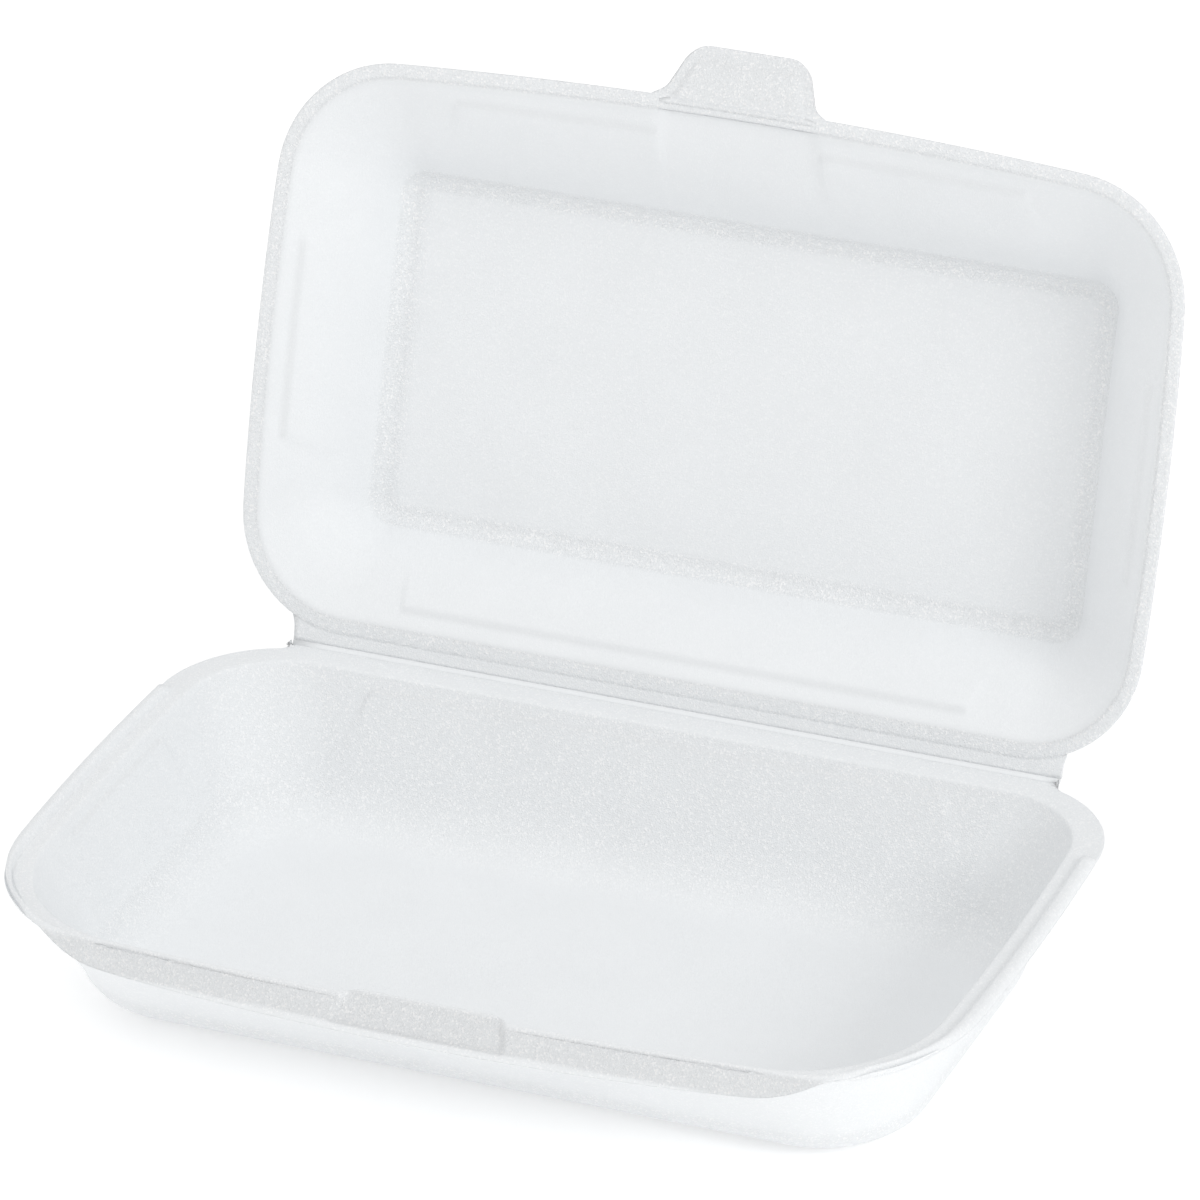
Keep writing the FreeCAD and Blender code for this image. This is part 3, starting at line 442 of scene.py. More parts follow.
@dataclass
class Tray:
    """The deep base with its flange, side beads, dipping lip, tab seat and pressed walls."""

    hinge: Hinge
    rim: Outline = Outline(123.1, 2.0, 155.5, 30.0, 45.0, 785.0, 790.0)
    landing: Outline = Outline(119.0, 3.5, 148.7, 29.4, 31.4, 905.4, 1340.4)
    mouth: Outline = Outline(115.3, 8.0, 148.3, 24.0, 36.0, 785.0, 1530.0)
    knee: Outline = Outline(105.4, 20.7, 129.6, 21.4, 25.5)
    foot: Outline = Outline(100.3, 27.3, 119.8, 20.0, 20.0)
    rim_height: float = 36.5
    knee_height: float = 12.5
    floor_thick: float = 2.2
    flange_thick: float = 1.6
    strip_thick: float = 1.1
    foot_corner: float = 12.0
    foot_inset: float = 8.0
    bead_height: float = 1.8
    bead_start: float = 32.4
    bead_fade: float = 0.271
    bead_end: float = 1.6
    rim_round: float = 0.3
    rim_round_share: float = 0.1
    mouth_round: float = 0.2
    mouth_round_start: float = 0.7
    ridge_reach: float = 149.2
    ridge_radius: float = 1530.0
    lip_run: float = 4.6
    lip_slope: float = 1.174
    lip_fold: float = 0.4
    # Painted shade and painted glints on the lip's slope and the tab's seat.
    lip_painted_shade: float = 0.9
    lip_shine: float = 0.5
    ledge_slope: float = 0.433
    seat_half: float = 19.2
    seat_flare: float = 3.4
    seat_start: float = 146.4
    seat_slope: float = 0.851
    seat_side: float = 1.4
    seat_fold: float = 0.6
    seat_margin: float = 0.3
    seat_shoulder: float = 7.0
    seat_shift: float = 2.8
    seat_foot: float = 22.5
    # How strongly the painted glints, the speckle and the bump show on the flange, the foot round, the
    # floor and each wall.
    flange_shine: float = 0.5
    foot_shine: float = 0.9
    floor_shine: float = 0.1
    panels: tuple[Panel, ...] = (
        Panel(Part.REAR, 0.0, 75.0, 3.4, 23.0, 7.5),
        Panel(Part.SIDE, 0.0, 25.0, 3.4, 23.0, 3.8),
        Panel(Part.FRONT, 22.6, 75.0, 6.0, 23.0, 3.8),
    )
    wall_shine: dict[Part, float] = field(default_factory=lambda: {
        Part.REAR: 0.8,
        Part.REAR_CORNER: 0.6,
        Part.SIDE: 0.4,
        Part.FRONT_CORNER: 0.3,
        Part.FRONT: 0.3,
    })
    bead_steps: tuple[float, ...] = (
        0.0, 0.04, 0.1, 0.18, 0.28, 0.38, 0.5, 0.62, 0.72, 0.82, 0.9, 0.96, 1.0)
    flat_steps: tuple[float, ...] = (0.12, 0.3, 0.5, 0.7, 0.82, 0.92, 1.0)
    wall_depths: tuple[float, ...] = (
        0.5, 1.0, 1.5, 2.0, 2.4, 2.8, 3.1, 3.4, 3.7, 4.0, 4.4, 4.9, 5.3, 5.6, 5.9, 6.2, 6.5,
        6.9, 7.5, 8.5, 10.0, 12.0, 14.0, 16.0, 18.0, 20.0, 22.0, 24.0)
    foot_steps: tuple[float, ...] = (0.92, 0.84, 0.76, 0.68, 0.6, 0.52, 0.44, 0.36, 0.27, 0.18, 0.09, 0.0)
    floor_steps: tuple[float, ...] = (0.06, 0.18, 0.4, 0.65, 0.88)
    landing_shares: dict[Station, float] = field(default_factory=dict)

    def landing_share(self, station: Station) -> float:
        """The share of the way from the rim to the mouth at which the lid's landing begins."""
        if station not in self.landing_shares:
            low, high = 0.0, 1.0
            for _ in range(HALVINGS):
                middle = (low + high) / 2
                if self.landing.contains(*between(self.rim, self.mouth, station, middle)):
                    high = middle
                else:
                    low = middle
            self.landing_shares[station] = high
        return self.landing_shares[station]

    def beyond_ridge(self, x: float, v: float) -> float:
        """How far a point lies in front of the lip's ridge."""
        far = self.ridge_reach - self.ridge_radius
        return math.hypot(x, v - far) - self.ridge_radius

    def lip_drop(self, beyond: float) -> float:
        """How far the lip's top lies under the rim."""
        fall = self.lip_slope * soft_ramp(beyond, self.lip_fold)
        past = soft_ramp(beyond - self.lip_run, self.lip_fold)
        return fall - (self.lip_slope - self.ledge_slope) * past

    def seat_mask(self, x: float, v: float) -> float:
        """1 inside the tab's seat and 0 outside it."""
        down = clamp((v - self.seat_start) / (2 * self.lip_run))
        return 1.0 - smooth(self.seat_half + self.seat_flare * down, self.seat_side, abs(x))

    def swell(self, x: float) -> float:
        """How far the front wall leans in behind the seat, fading softly to both sides."""
        return self.seat_shift * (1.0 - smooth(self.seat_half, self.seat_shoulder, abs(x)))

    def seat_share(self, spot: Spot) -> float:
        """1 on the seat and 0 off it: the seat ends at the lip's foot."""
        lip_foot = self.lip_run - self.seat_margin
        left = 1.0 - smooth(lip_foot, self.seat_fold, self.beyond_ridge(spot.x, spot.v))
        return self.seat_mask(spot.x, spot.v) * left

    def seat_level(self, spot: Spot) -> float:
        """The level of a spot once the seat is cut down to its floor."""
        floor = -self.seat_slope * soft_ramp(spot.v - self.seat_start, self.seat_fold)
        return mix(spot.level, min(spot.level, floor), self.seat_share(spot))

    def lower(self, spot: Spot) -> None:
        """Let the front of the flange fall away, cut the tab's seat into it, and paint shade and glints on
        the lip's slope and the seat.
        """
        if spot.v < self.rim.side_middle:
            return
        beyond = self.beyond_ridge(spot.x, spot.v)
        spot.level -= self.lip_drop(beyond)
        spot.level = self.seat_level(spot)
        # Painted shade and painted glints where the lip slopes down and on the seat.
        begun = smooth(self.lip_fold / 2, 2 * self.lip_fold, beyond)
        on_slope = begun * (1.0 - smooth(self.lip_run, self.seat_fold, beyond))
        on_seat = self.seat_share(spot) * smooth(self.seat_start, self.seat_fold, spot.v)
        pressed = max(on_slope, on_seat)
        spot.painted_shade += self.lip_painted_shade * pressed
        spot.shine += self.lip_shine * pressed

    def bead(self, spot: Spot, share: float) -> float:
        """The height of the locating bead at a share of the way from the rim to the lid's landing."""
        round_top = 1.0 - abs(2.0 * share - 1.0) ** 3
        height = min(self.bead_height, self.bead_fade * max(0.0, -self.beyond_ridge(spot.x, spot.v)))
        return height * round_top * smooth(self.bead_start, self.bead_end, spot.v)

    def flange_ring(self, share: float) -> Ring:
        """A ring between the rim and where the lid lands."""
        ring = []
        for station in HALF_STATIONS:
            x, v = between(self.rim, self.mouth, station, share * self.landing_share(station))
            spot = Spot(x, v, 0.0, station.part, self.flange_thick, shine=self.flange_shine)
            rounding = clamp(1.0 - share / self.rim_round_share) ** 2
            spot.level = self.bead(spot, share) - self.rim_round * rounding
            self.lower(spot)
            ring.append(spot)
        return ring

    def landing_ring(self, share: float) -> Ring:
        """A ring between where the lid lands and the mouth."""
        ring = []
        for station in HALF_STATIONS:
            way = mix(self.landing_share(station), 1.0, share)
            x, v = between(self.rim, self.mouth, station, way)
            spot = Spot(x, v, 0.0, station.part, self.flange_thick, shine=self.flange_shine)
            if station.part is Part.FRONT:
                spot.v -= self.swell(x) * share
            begun = (share - self.mouth_round_start) / (1.0 - self.mouth_round_start)
            spot.level = -self.mouth_round * clamp(begun) ** 2
            self.lower(spot)
            ring.append(spot)
        return ring

    def wall_ring(self, depth: float) -> Ring:
        """A ring of the wall at a depth under the rim."""
        ring = []
        share = depth / (self.rim_height - self.knee_height)
        for station in HALF_STATIONS:
            x, v = between(self.mouth, self.knee, station, share)
            thickness = mix(self.flange_thick, self.floor_thick, share)
            spot = Spot(x, v, -depth, station.part, thickness, shine=self.wall_shine[station.part])
            if station.part is Part.FRONT:
                spot.v -= self.swell(x) * clamp(1.0 - depth / self.seat_foot)
                spot.level = self.seat_level(spot)
            press(self.panels, self.mouth.side_middle, spot, depth)
            ring.append(spot)
        return ring

    def foot_ring(self, left: float) -> Ring:
        """A ring of the round between wall and floor, with a share of the way to the wall left."""
        ring = []
        inset = self.foot_inset * (1.0 - left) ** 2
        height = mix(self.floor_thick, self.knee_height, left ** 2)
        corner = self.foot.grown(-inset)
        wall = self.knee.grown(-inset)
        for station in HALF_STATIONS:
            x, v = between(corner, wall, station, left ** 2)
            thickness = self.floor_thick + self.foot_corner * left ** 2 * (1.0 - left)
            shine = self.foot_shine * left
            ring.append(Spot(x, v, height - self.rim_height, station.part, thickness, shine))
        return ring

    def floor_ring(self, share: float) -> Ring:
        """A ring of the floor at a share of the way to its middle."""
        ring = []
        edge = self.foot.grown(-self.foot_inset)
        middle_v = (edge.rear + edge.front) / 2
        for station in HALF_STATIONS:
            x, v = edge.point(station)
            ring.append(Spot(x * (1.0 - share), mix(v, middle_v, share), self.floor_thick - self.rim_height,
                             station.part, self.floor_thick, self.floor_shine))
        return ring

    def build(self) -> bpy.types.Object:
        """Model the tray as one sheet, with its half of the hinge strip."""
        sheet = SheetMesh("foam_tray", lambda spot: self.hinge.closed(spot.x, spot.v, spot.level))
        rings = [self.flange_ring(share) for share in self.bead_steps]
        rings += [self.landing_ring(share) for share in self.flat_steps]
        rings += [self.wall_ring(depth) for depth in self.wall_depths]
        rings += [self.foot_ring(left) for left in self.foot_steps]
        rings += [self.floor_ring(share) for share in self.floor_steps]
        whole = [full_ring(ring) for ring in rings]
        outer = sheet.start(whole[0])
        verts = outer
        for ring in whole[1:]:
            verts = sheet.extend(verts, ring)
        sheet.close(verts)
        add_strip(sheet, self.hinge, outer, whole[0], -self.hinge.recess, self.strip_thick)
        return sheet.finish(Vector((0.0, 0.0, 1.0)))

    def dress(self, finish: "Foam") -> bpy.types.Object:
        """Build the tray, give it its finish and join it to the frame."""
        piece = self.build()
        piece.data.materials.append(finish.material)
        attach(piece, "tray")
        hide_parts("tray")
        return piece


def add_strip(sheet: SheetMesh, hinge: Hinge, outer: list[bmesh.types.BMVert], ring: Ring,
              level: float, thickness: float) -> None:
    """Extrude the rear of an outer ring to the crease.

    Args:
        sheet: the mesh of the half.
        hinge: the crease.
        outer: the vertices of its outermost ring.
        ring: the spots of that ring.
        level: the level of the strip's seen face.
        thickness: the strip's thickness.
    """
    reach = hinge.half_length + hinge.notch
    run = [k for k, spot in enumerate(ring)
           if abs(spot.x) <= reach and spot.part in (Part.REAR, Part.REAR_CORNER)]
    run.sort(key=lambda k: ring[k].x)
    widest = abs(ring[run[0]].x)
    verts = [outer[k] for k in run]
    for left in hinge.strip_steps:
        half = mix(hinge.half_length, widest, left ** 3)
        row = []
        for k in run:
            spot = ring[k]
            v = mix(hinge.skin_half, spot.v, left)
            row.append(replace(spot, x=clamp(spot.x, -half, half), v=v, level=level,
                               shine=hinge.strip_shine, thickness=thickness))
        verts = sheet.extend(verts, row)


@dataclass
class Lid:
    """The shallow cover with its flange, curved walls, ceiling and closing tab."""

    hinge: Hinge
    rim: Outline = Outline(118.6, 3.9, 148.3, 29.0, 31.0, 905.0, 1340.0)
    flange_width: float = 3.6
    flange_round: float = 0.3
    # Painted glints and painted shade on the flange, with a line of painted shade along its inner edge that
    # runs a little way down the wall.
    flange_shine: float = 1.0
    flange_painted_shade: float = 0.05
    outer_round_share: float = 0.16
    inner_round_start: float = 0.8
    line_start: float = 0.85
    line_width: float = 0.2
    line_painted_shade: float = 0.4
    line_depth: float = 1.2
    # How strongly the painted glints, the speckle and the bump show on the wall, the ceiling's border and
    # the ceiling.
    wall_shine: float = 0.15
    border_shine: float = 1.0
    ceiling_shine: float = 0.3
    shoulder: Outline = Outline(106.0, 16.5, 133.3, 20.0, 20.0)
    waist: Outline = Outline(98.4, 24.1, 123.6, 12.5, 12.5)
    ceiling: Outline = Outline(92.2, 30.2, 115.6, 5.0, 5.0)
    mating_gap: float = 0.1
    shoulder_depth: float = 6.5
    waist_depth: float = 14.5
    ceiling_depth: float = 25.7
    ceiling_border: float = 2.6
    brow_drop: float = 2.4
    brow_run: float = 1.3
    sheet_thick: float = 2.2
    wall_thick: float = 1.9
    flange_thick: float = 1.6
    strip_thick: float = 1.1
    tab_root: float = 23.0
    tab_half: float = 20.0
    tab_tip_half: float = 14.6
    tab_length: float = 12.6
    tab_flare: float = 3.0
    tab_corner: float = 4.0
    tab_tilt: float = math.radians(23.0)
    tab_edge: float = 1.0
    # Painted glints and painted shade on the tab.
    tab_shine: float = 1.0
    tab_painted_shade: float = 0.3
    pad_start: float = -0.6
    pad_end: float = 8.7
    pad_margin: float = 3.4
    pad_proud: float = 0.7
    pad_bend: float = 1.4
    pad_root_bend: float = 1.2
    bulge: float = 2.0
    bulge_foot: float = 10.0
    bulge_side: float = 4.5
    panels: tuple[Panel, ...] = (
        Panel(Part.REAR, 0.0, 74.0, 3.0, 14.5, 4.0),
        Panel(Part.SIDE, 0.0, 25.0, 3.0, 14.5, 4.0),
        Panel(Part.FRONT, 21.0, 74.0, 3.0, 14.5, 4.0),
    )
    flange_steps: tuple[float, ...] = (0.0, 0.06, 0.16, 0.35, 0.6, 0.8, 0.92, 1.0)
    wall_depths: tuple[float, ...] = (
        0.35, 0.8, 1.3, 1.8, 2.2, 2.6, 2.9, 3.2, 3.5, 3.9, 4.4, 5.0, 5.8, 6.6, 7.5, 8.6, 10.0,
        11.5, 13.0, 14.5, 16.0, 18.0, 20.0, 22.0)
    border_steps: tuple[float, ...] = (1.0, 0.85, 0.7, 0.55, 0.4, 0.25, 0.12, 0.0)
    ceiling_steps: tuple[float, ...] = (0.04, 0.15, 0.4, 0.65, 0.88)
    tab_steps: tuple[float, ...] = (
        0.4, 0.9, 1.4, 1.9, 2.5, 3.2, 4.0, 5.0, 6.0, 7.0, 7.8, 8.4, 8.9, 9.4, 10.0, 10.6, 11.2,
        11.7, 12.1, 12.4, 12.6)

    @property
    def mouth(self) -> Outline:
        """The inner edge of the flange."""
        return self.rim.grown(-self.flange_width)

    @property
    def brow(self) -> tuple[float, Outline]:
        """The depth and outline at which the wall starts to round into the ceiling."""
        return self.ceiling_depth - self.brow_drop, self.ceiling.grown(self.brow_run)

    def wall_point(self, station: Station, depth: float) -> tuple[float, float]:
        """Where the wall runs at a depth, on a smooth curve through its outlines."""
        brow_depth, brow = self.brow
        knots = (
            (0.0, self.mouth.point(station)),
            (self.shoulder_depth, self.shoulder.point(station)),
            (self.waist_depth, self.waist.point(station)),
            (brow_depth, brow.point(station)),
        )
        return smooth_through(knots, depth)

    def flange_ring(self, share: float) -> Ring:
        """A ring of the flange."""
        ring = []
        for station in HALF_STATIONS:
            x, v = between(self.rim, self.mouth, station, share)
            outer = self.flange_round * clamp(1.0 - share / self.outer_round_share) ** 2
            begun = (share - self.inner_round_start) / (1.0 - self.inner_round_start)
            edge = self.flange_round * clamp(begun) ** 2
            if station.part is Part.FRONT:
                outer *= smooth(self.tab_root, self.tab_edge, abs(x))
                edge -= self.pad(x, v - self.rim.front)
            # Painted shade on the flange, darker towards its inner edge.
            painted_shade = self.flange_painted_shade + self.line_painted_shade * smooth(self.line_start, self.line_width, share)
            ring.append(Spot(x, v, self.mating_gap + outer + edge, station.part, self.flange_thick,
                             self.flange_shine, painted_shade))
        return ring

    def wall_ring(self, depth: float) -> Ring:
        """A ring of the wall at a depth into the lid."""
        ring = []
        for station in HALF_STATIONS:
            x, v = self.wall_point(station, depth)
            # The inner edge's painted shade fades a little way down the wall.
            painted_shade = self.line_painted_shade * clamp(1.0 - depth / self.line_depth)
            spot = Spot(x, v, self.mating_gap + depth, station.part, self.wall_thick,
                        self.wall_shine, painted_shade)
            if station.part is Part.FRONT:
                under_tab = 1.0 - smooth(self.tab_half, self.bulge_side, abs(x))
                spot.v += self.bulge * under_tab * clamp(1.0 - depth / self.bulge_foot)
            press(self.panels, self.mouth.side_middle, spot, depth)
            ring.append(spot)
        return ring

    def border_ring(self, left: float) -> Ring:
        """A ring of the round between wall and ceiling."""
        ring = []
        inset = self.ceiling_border * (1.0 - left) ** 2
        brow_depth, brow = self.brow
        corner = self.ceiling.grown(-inset)
        wall = brow.grown(-inset)
        depth = mix(self.ceiling_depth, brow_depth, left ** 2)
        for station in HALF_STATIONS:
            x, v = between(corner, wall, station, left ** 2)
            ring.append(Spot(x, v, self.mating_gap + depth, station.part, self.sheet_thick,
                             self.border_shine))
        return ring

    def ceiling_ring(self, share: float) -> Ring:
        """A ring of the flat ceiling at a share of the way to its middle."""
        ring = []
        edge = self.ceiling.grown(-self.ceiling_border)
        middle_v = (edge.rear + edge.front) / 2
        for station in HALF_STATIONS:
            x, v = edge.point(station)
            ring.append(Spot(x * (1.0 - share), mix(v, middle_v, share),
                             self.mating_gap + self.ceiling_depth, station.part, self.sheet_thick,
                             self.ceiling_shine))
        return ring

    def tab_half_at(self, run: float) -> float:
        """Half the width of the tab at a distance from its root."""
        flare = self.tab_flare * clamp(1.0 - run / self.tab_flare) ** 2
        half = mix(self.tab_half, self.tab_tip_half, run / self.tab_length) + flare
        past = run - (self.tab_length - self.tab_corner)
        if past > 0:
            half -= self.tab_corner - math.sqrt(max(0.0, self.tab_corner ** 2 - past ** 2))
        return half

    def pad(self, x: float, run: float) -> float:
        """How far the tab's raised pad stands out at a place."""
        half = mix(self.tab_half, self.tab_tip_half, run / self.tab_length) - self.pad_margin
        across = 1.0 - smooth(half, self.pad_bend, abs(x))
        ended = smooth(self.pad_end, self.pad_bend, run)
        along = smooth(self.pad_start, self.pad_root_bend, run) * (1.0 - ended)
        return self.pad_proud * across * along

    def add_tab(self, sheet: SheetMesh, outer: list[bmesh.types.BMVert], ring: Ring) -> None:
        """Extrude the front of the outer ring to the tab's tip."""
        run = [k for k, spot in enumerate(ring) if abs(spot.x) <= self.tab_root and spot.part is Part.FRONT]
        run.sort(key=lambda k: ring[k].x)
        verts = [outer[k] for k in run]
        widest = abs(ring[run[0]].x)
        for out in self.tab_steps:
            row = []
            for k in run:
                spot = ring[k]
                x = spot.x / widest * self.tab_half_at(out)
                rise = self.mating_gap + out * math.tan(self.tab_tilt) - self.pad(x, out)
                root = clamp(1.0 - out / self.tab_length)
                v = mix(self.rim.front + out, spot.v + out, root)
                row.append(replace(spot, x=x, v=v, level=rise, shine=self.tab_shine, painted_shade=self.tab_painted_shade))
            verts = sheet.extend(verts, row)

    def build(self) -> bpy.types.Object:
        """Model the lid as one sheet, with its tab and its half of the hinge strip."""
        sheet = SheetMesh("foam_lid", lambda spot: self.hinge.opened(spot.x, spot.v, spot.level))
        rings = [self.flange_ring(share) for share in self.flange_steps]
        rings += [self.wall_ring(depth) for depth in self.wall_depths]
        rings += [self.border_ring(left) for left in self.border_steps]
        rings += [self.ceiling_ring(share) for share in self.ceiling_steps]
        whole = [full_ring(ring) for ring in rings]
        outer = sheet.start(whole[0])
        verts = outer
        for ring in whole[1:]:
            verts = sheet.extend(verts, ring)
        sheet.close(verts)
        self.add_tab(sheet, outer, whole[0])
        add_strip(sheet, self.hinge, outer, whole[0], self.mating_gap + self.hinge.recess, self.strip_thick)
        seen = self.hinge.opened(0.0, 0.0, -1.0) - self.hinge.opened(0.0, 0.0, 0.0)
        return sheet.finish(seen.normalized())

    def dress(self, finish: "Foam") -> bpy.types.Object:
        """Build the lid, give it its finish and join it to the frame."""
        piece = self.build()
        piece.data.materials.append(finish.material)
        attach(piece, "lid")
        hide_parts("lid")
        return piece


def smooth_through(knots: Sequence[tuple[float, tuple[float, float]]], at: float) -> tuple[float, float]:
    """A point on a smooth curve through knots.

    Args:
        knots: pairs of a depth and the point there, in order.
        at: the depth that is wanted.

    Returns:
        x and v at that depth.
    """
    last = len(knots) - 1
    low = max((k for k in range(last) if knots[k][0] <= at), default=0)

    def slope(k: int, axis: int) -> float:
        """The curve's slope at a knot."""
        before, after = max(k - 1, 0), min(k + 1, last)
        run = knots[after][0] - knots[before][0]
        return (knots[after][1][axis] - knots[before][1][axis]) / run

    (start, first), (end, second) = knots[low], knots[low + 1]
    span = end - start
    t = (at - start) / span
    result = []
    for axis in (0, 1):
        result.append(
            (2 * t ** 3 - 3 * t ** 2 + 1) * first[axis]
            + (t ** 3 - 2 * t ** 2 + t) * span * slope(low, axis)
            + (3 * t ** 2 - 2 * t ** 3) * second[axis]
            + (t ** 3 - t ** 2) * span * slope(low + 1, axis))
    return result[0], result[1]


@dataclass
class HingeSkin:
    """The thin web of foam that bends along the crease between the two halves."""

    hinge: Hinge
    mating_gap: float = 0.1
    thickness: float = 0.8
    columns: int = 24
    rows: int = 8

    def ends(self) -> tuple[Vector, Vector]:
        """Where the web leaves the tray's strip and where it meets the lid's."""
        start = self.hinge.closed(0.0, self.hinge.skin_half, -self.hinge.recess)
        end = self.hinge.opened(0.0, self.hinge.skin_half, self.mating_gap + self.hinge.recess)
        return start, end

    def build(self) -> bpy.types.Object:
        """Model the web as a bent strip between the ends of the two strips."""
        start, end = self.ends()
        bend = self.hinge.closed(0.0, 0.0, -self.hinge.recess)
        mesh = bmesh.new()
        bmesh.ops.create_grid(mesh, x_segments=self.columns, y_segments=self.rows, size=1.0)
        for vert in mesh.verts:
            share = (vert.co.y + 1.0) / 2.0
            across = vert.co.x * self.hinge.half_length * MM
            place = start.lerp(bend, share).lerp(bend.lerp(end, share), share)
            vert.co = Vector((across, place.y, place.z))
        bmesh.ops.recalc_face_normals(mesh, faces=mesh.faces[:])
        if sum(face.normal.z - face.normal.y for face in mesh.faces) < 0:
            bmesh.ops.reverse_faces(mesh, faces=mesh.faces[:])
        for face in mesh.faces:
            face.smooth = True
        bmesh.ops.solidify(mesh, geom=mesh.faces[:], thickness=self.thickness * MM)
        data = bpy.data.meshes.new("hinge_skin")
        mesh.to_mesh(data)
        mesh.free()
        piece = bpy.data.objects.new("hinge_skin", data)
        bpy.context.scene.collection.objects.link(piece)
        return piece

    def dress(self, finish: "Foam") -> bpy.types.Object:
        """Build the web and give it its finish."""
        piece = self.build()
        piece.data.materials.append(finish.material)
        start, end = self.ends()
        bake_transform(piece)
        return piece


@dataclass
class ShaderWeb:
    """Adds nodes to one material and links them."""

    material: bpy.types.Material

    def __post_init__(self) -> None:
        """Start from an empty node tree."""
        self.material.use_nodes = True
        self.tree = self.material.node_tree
        self.tree.nodes.clear()

    def add(self, kind: str, **settings: object) -> bpy.types.Node:
        """Add a node and set its own settings."""
        node = self.tree.nodes.new(kind)
        for name, value in settings.items():
            setattr(node, name, value)
        return node

    def link(self, source: bpy.types.NodeSocket, target: bpy.types.NodeSocket) -> None:
        """Join two sockets."""
        self.tree.links.new(source, target)

    def maths(self, operation: str, first: object, second: object) -> bpy.types.NodeSocket:
        """Add a Math node of two inputs, each a number or a socket.

        Args:
            operation: the Math node's operation.
            first: the first number or socket.
            second: the second number or socket.

        Returns:
            the output socket.
        """
        node = self.add("ShaderNodeMath", operation=operation)
        for socket, value in zip(node.inputs, (first, second)):
            if isinstance(value, bpy.types.NodeSocket):
                self.link(value, socket)
            else:
                socket.default_value = value
        return node.outputs[0]


@dataclass(frozen=True)
class Foam:
    """White expanded polystyrene: a soft satin skin over fine cells; some cells carry painted glints,
    whitened in the colour, and the colour carries painted shade.
    """

    deep: tuple[float, float, float, float] = (0.845, 0.862, 0.875, 1.0)
    pale: tuple[float, float, float, float] = (0.885, 0.902, 0.915, 1.0)
    glint: tuple[float, float, float, float] = WHITE
    dark: tuple[float, float, float, float] = (0.02, 0.02, 0.02, 1.0)
    cells_per_metre: float = 2500.0
    clouds_per_metre: float = 55.0
    clouds_detail: float = 4.0
    grain_per_metre: float = 2600.0
    grain_detail: float = 2.0
    grain_height: float = 0.6
    bump_height: float = 0.0002
    bump_least: float = 0.15
    bump_gain: float = 0.6
    painted_shade_depth: float = 0.125
    grain_dark: float = 0.06
    roughness: float = 0.5
    specular: float = 0.4
    glint_share: float = 0.86
    glint_light: float = 0.8
    glint_gloss: float = 0.25

    @property
    def material(self) -> bpy.types.Material:
        """The foam's material, made once."""
        name = "pressed_foam"
        return bpy.data.materials.get(name) or self._make(name)

    def _make(self, name: str) -> bpy.types.Material:
        """Build the node tree."""
        web = ShaderWeb(bpy.data.materials.new(name))
        place = web.add("ShaderNodeTexCoord").outputs["Object"]
        cells = web.add("ShaderNodeTexVoronoi", feature="F1")
        cells.inputs["Scale"].default_value = self.cells_per_metre
        clouds = web.add("ShaderNodeTexNoise")
        clouds.inputs["Scale"].default_value = self.clouds_per_metre
        clouds.inputs["Detail"].default_value = self.clouds_detail
        grain = web.add("ShaderNodeTexNoise")
        grain.inputs["Scale"].default_value = self.grain_per_metre
        grain.inputs["Detail"].default_value = self.grain_detail
        for node in (cells, clouds, grain):
            web.link(place, node.inputs["Vector"])
        shine = web.add("ShaderNodeAttribute", attribute_name=SHINE_LAYER).outputs["Fac"]
        painted_shade = web.add("ShaderNodeAttribute", attribute_name=PAINTED_SHADE_LAYER).outputs["Fac"]
        spot = web.add("ShaderNodeSeparateColor")
        web.link(cells.outputs["Color"], spot.inputs[0])
        # Painted glints: random cells are whitened in the colour where the shine layer is high, and made a
        # little glossier.
        chosen = web.maths("GREATER_THAN", spot.outputs[0], self.glint_share)
        glints = web.maths("MULTIPLY", chosen, shine)
        tone = web.add("ShaderNodeMix", data_type="RGBA")
        web.link(clouds.outputs[0], tone.inputs["Factor"])
        tone.inputs[MIX_FIRST].default_value = self.deep
        tone.inputs[MIX_SECOND].default_value = self.pale
        lit = web.add("ShaderNodeMix", data_type="RGBA")
        web.link(web.maths("MULTIPLY", glints, self.glint_light), lit.inputs["Factor"])
        web.link(tone.outputs[MIX_RESULT], lit.inputs[MIX_FIRST])
        lit.inputs[MIX_SECOND].default_value = self.glint
        grains = web.maths("MULTIPLY", grain.outputs[0], self.grain_height)
        height = web.maths("ADD", cells.outputs["Distance"], grains)
        bump = web.add("ShaderNodeBump")
        strength = web.maths("ADD", self.bump_least, web.maths("MULTIPLY", shine, self.bump_gain))
        web.link(strength, bump.inputs["Strength"])
        bump.inputs["Distance"].default_value = self.bump_height
        web.link(height, bump.inputs["Height"])
        speckle = web.maths("MULTIPLY", web.maths("MULTIPLY", spot.outputs[1], shine), self.grain_dark)
        # Darkening: the painted shade of the vertex layer, plus the random speckle of cells.
        dark = web.maths("ADD", web.maths("MULTIPLY", painted_shade, self.painted_shade_depth), speckle)
        shaded = web.add("ShaderNodeMix", data_type="RGBA")
        web.link(dark, shaded.inputs["Factor"])
        web.link(lit.outputs[MIX_RESULT], shaded.inputs[MIX_FIRST])
        shaded.inputs[MIX_SECOND].default_value = self.dark
        skin = web.add("ShaderNodeBsdfPrincipled")
        web.link(shaded.outputs[MIX_RESULT], skin.inputs["Base Color"])
        web.link(bump.outputs[0], skin.inputs["Normal"])
        gloss = web.maths("MULTIPLY", glints, self.glint_gloss)
        web.link(web.maths("SUBTRACT", self.roughness, gloss), skin.inputs["Roughness"])
        skin.inputs["Specular IOR Level"].default_value = self.specular
        out = web.add("ShaderNodeOutputMaterial")
        web.link(skin.outputs[0], out.inputs["Surface"])
        return web.material


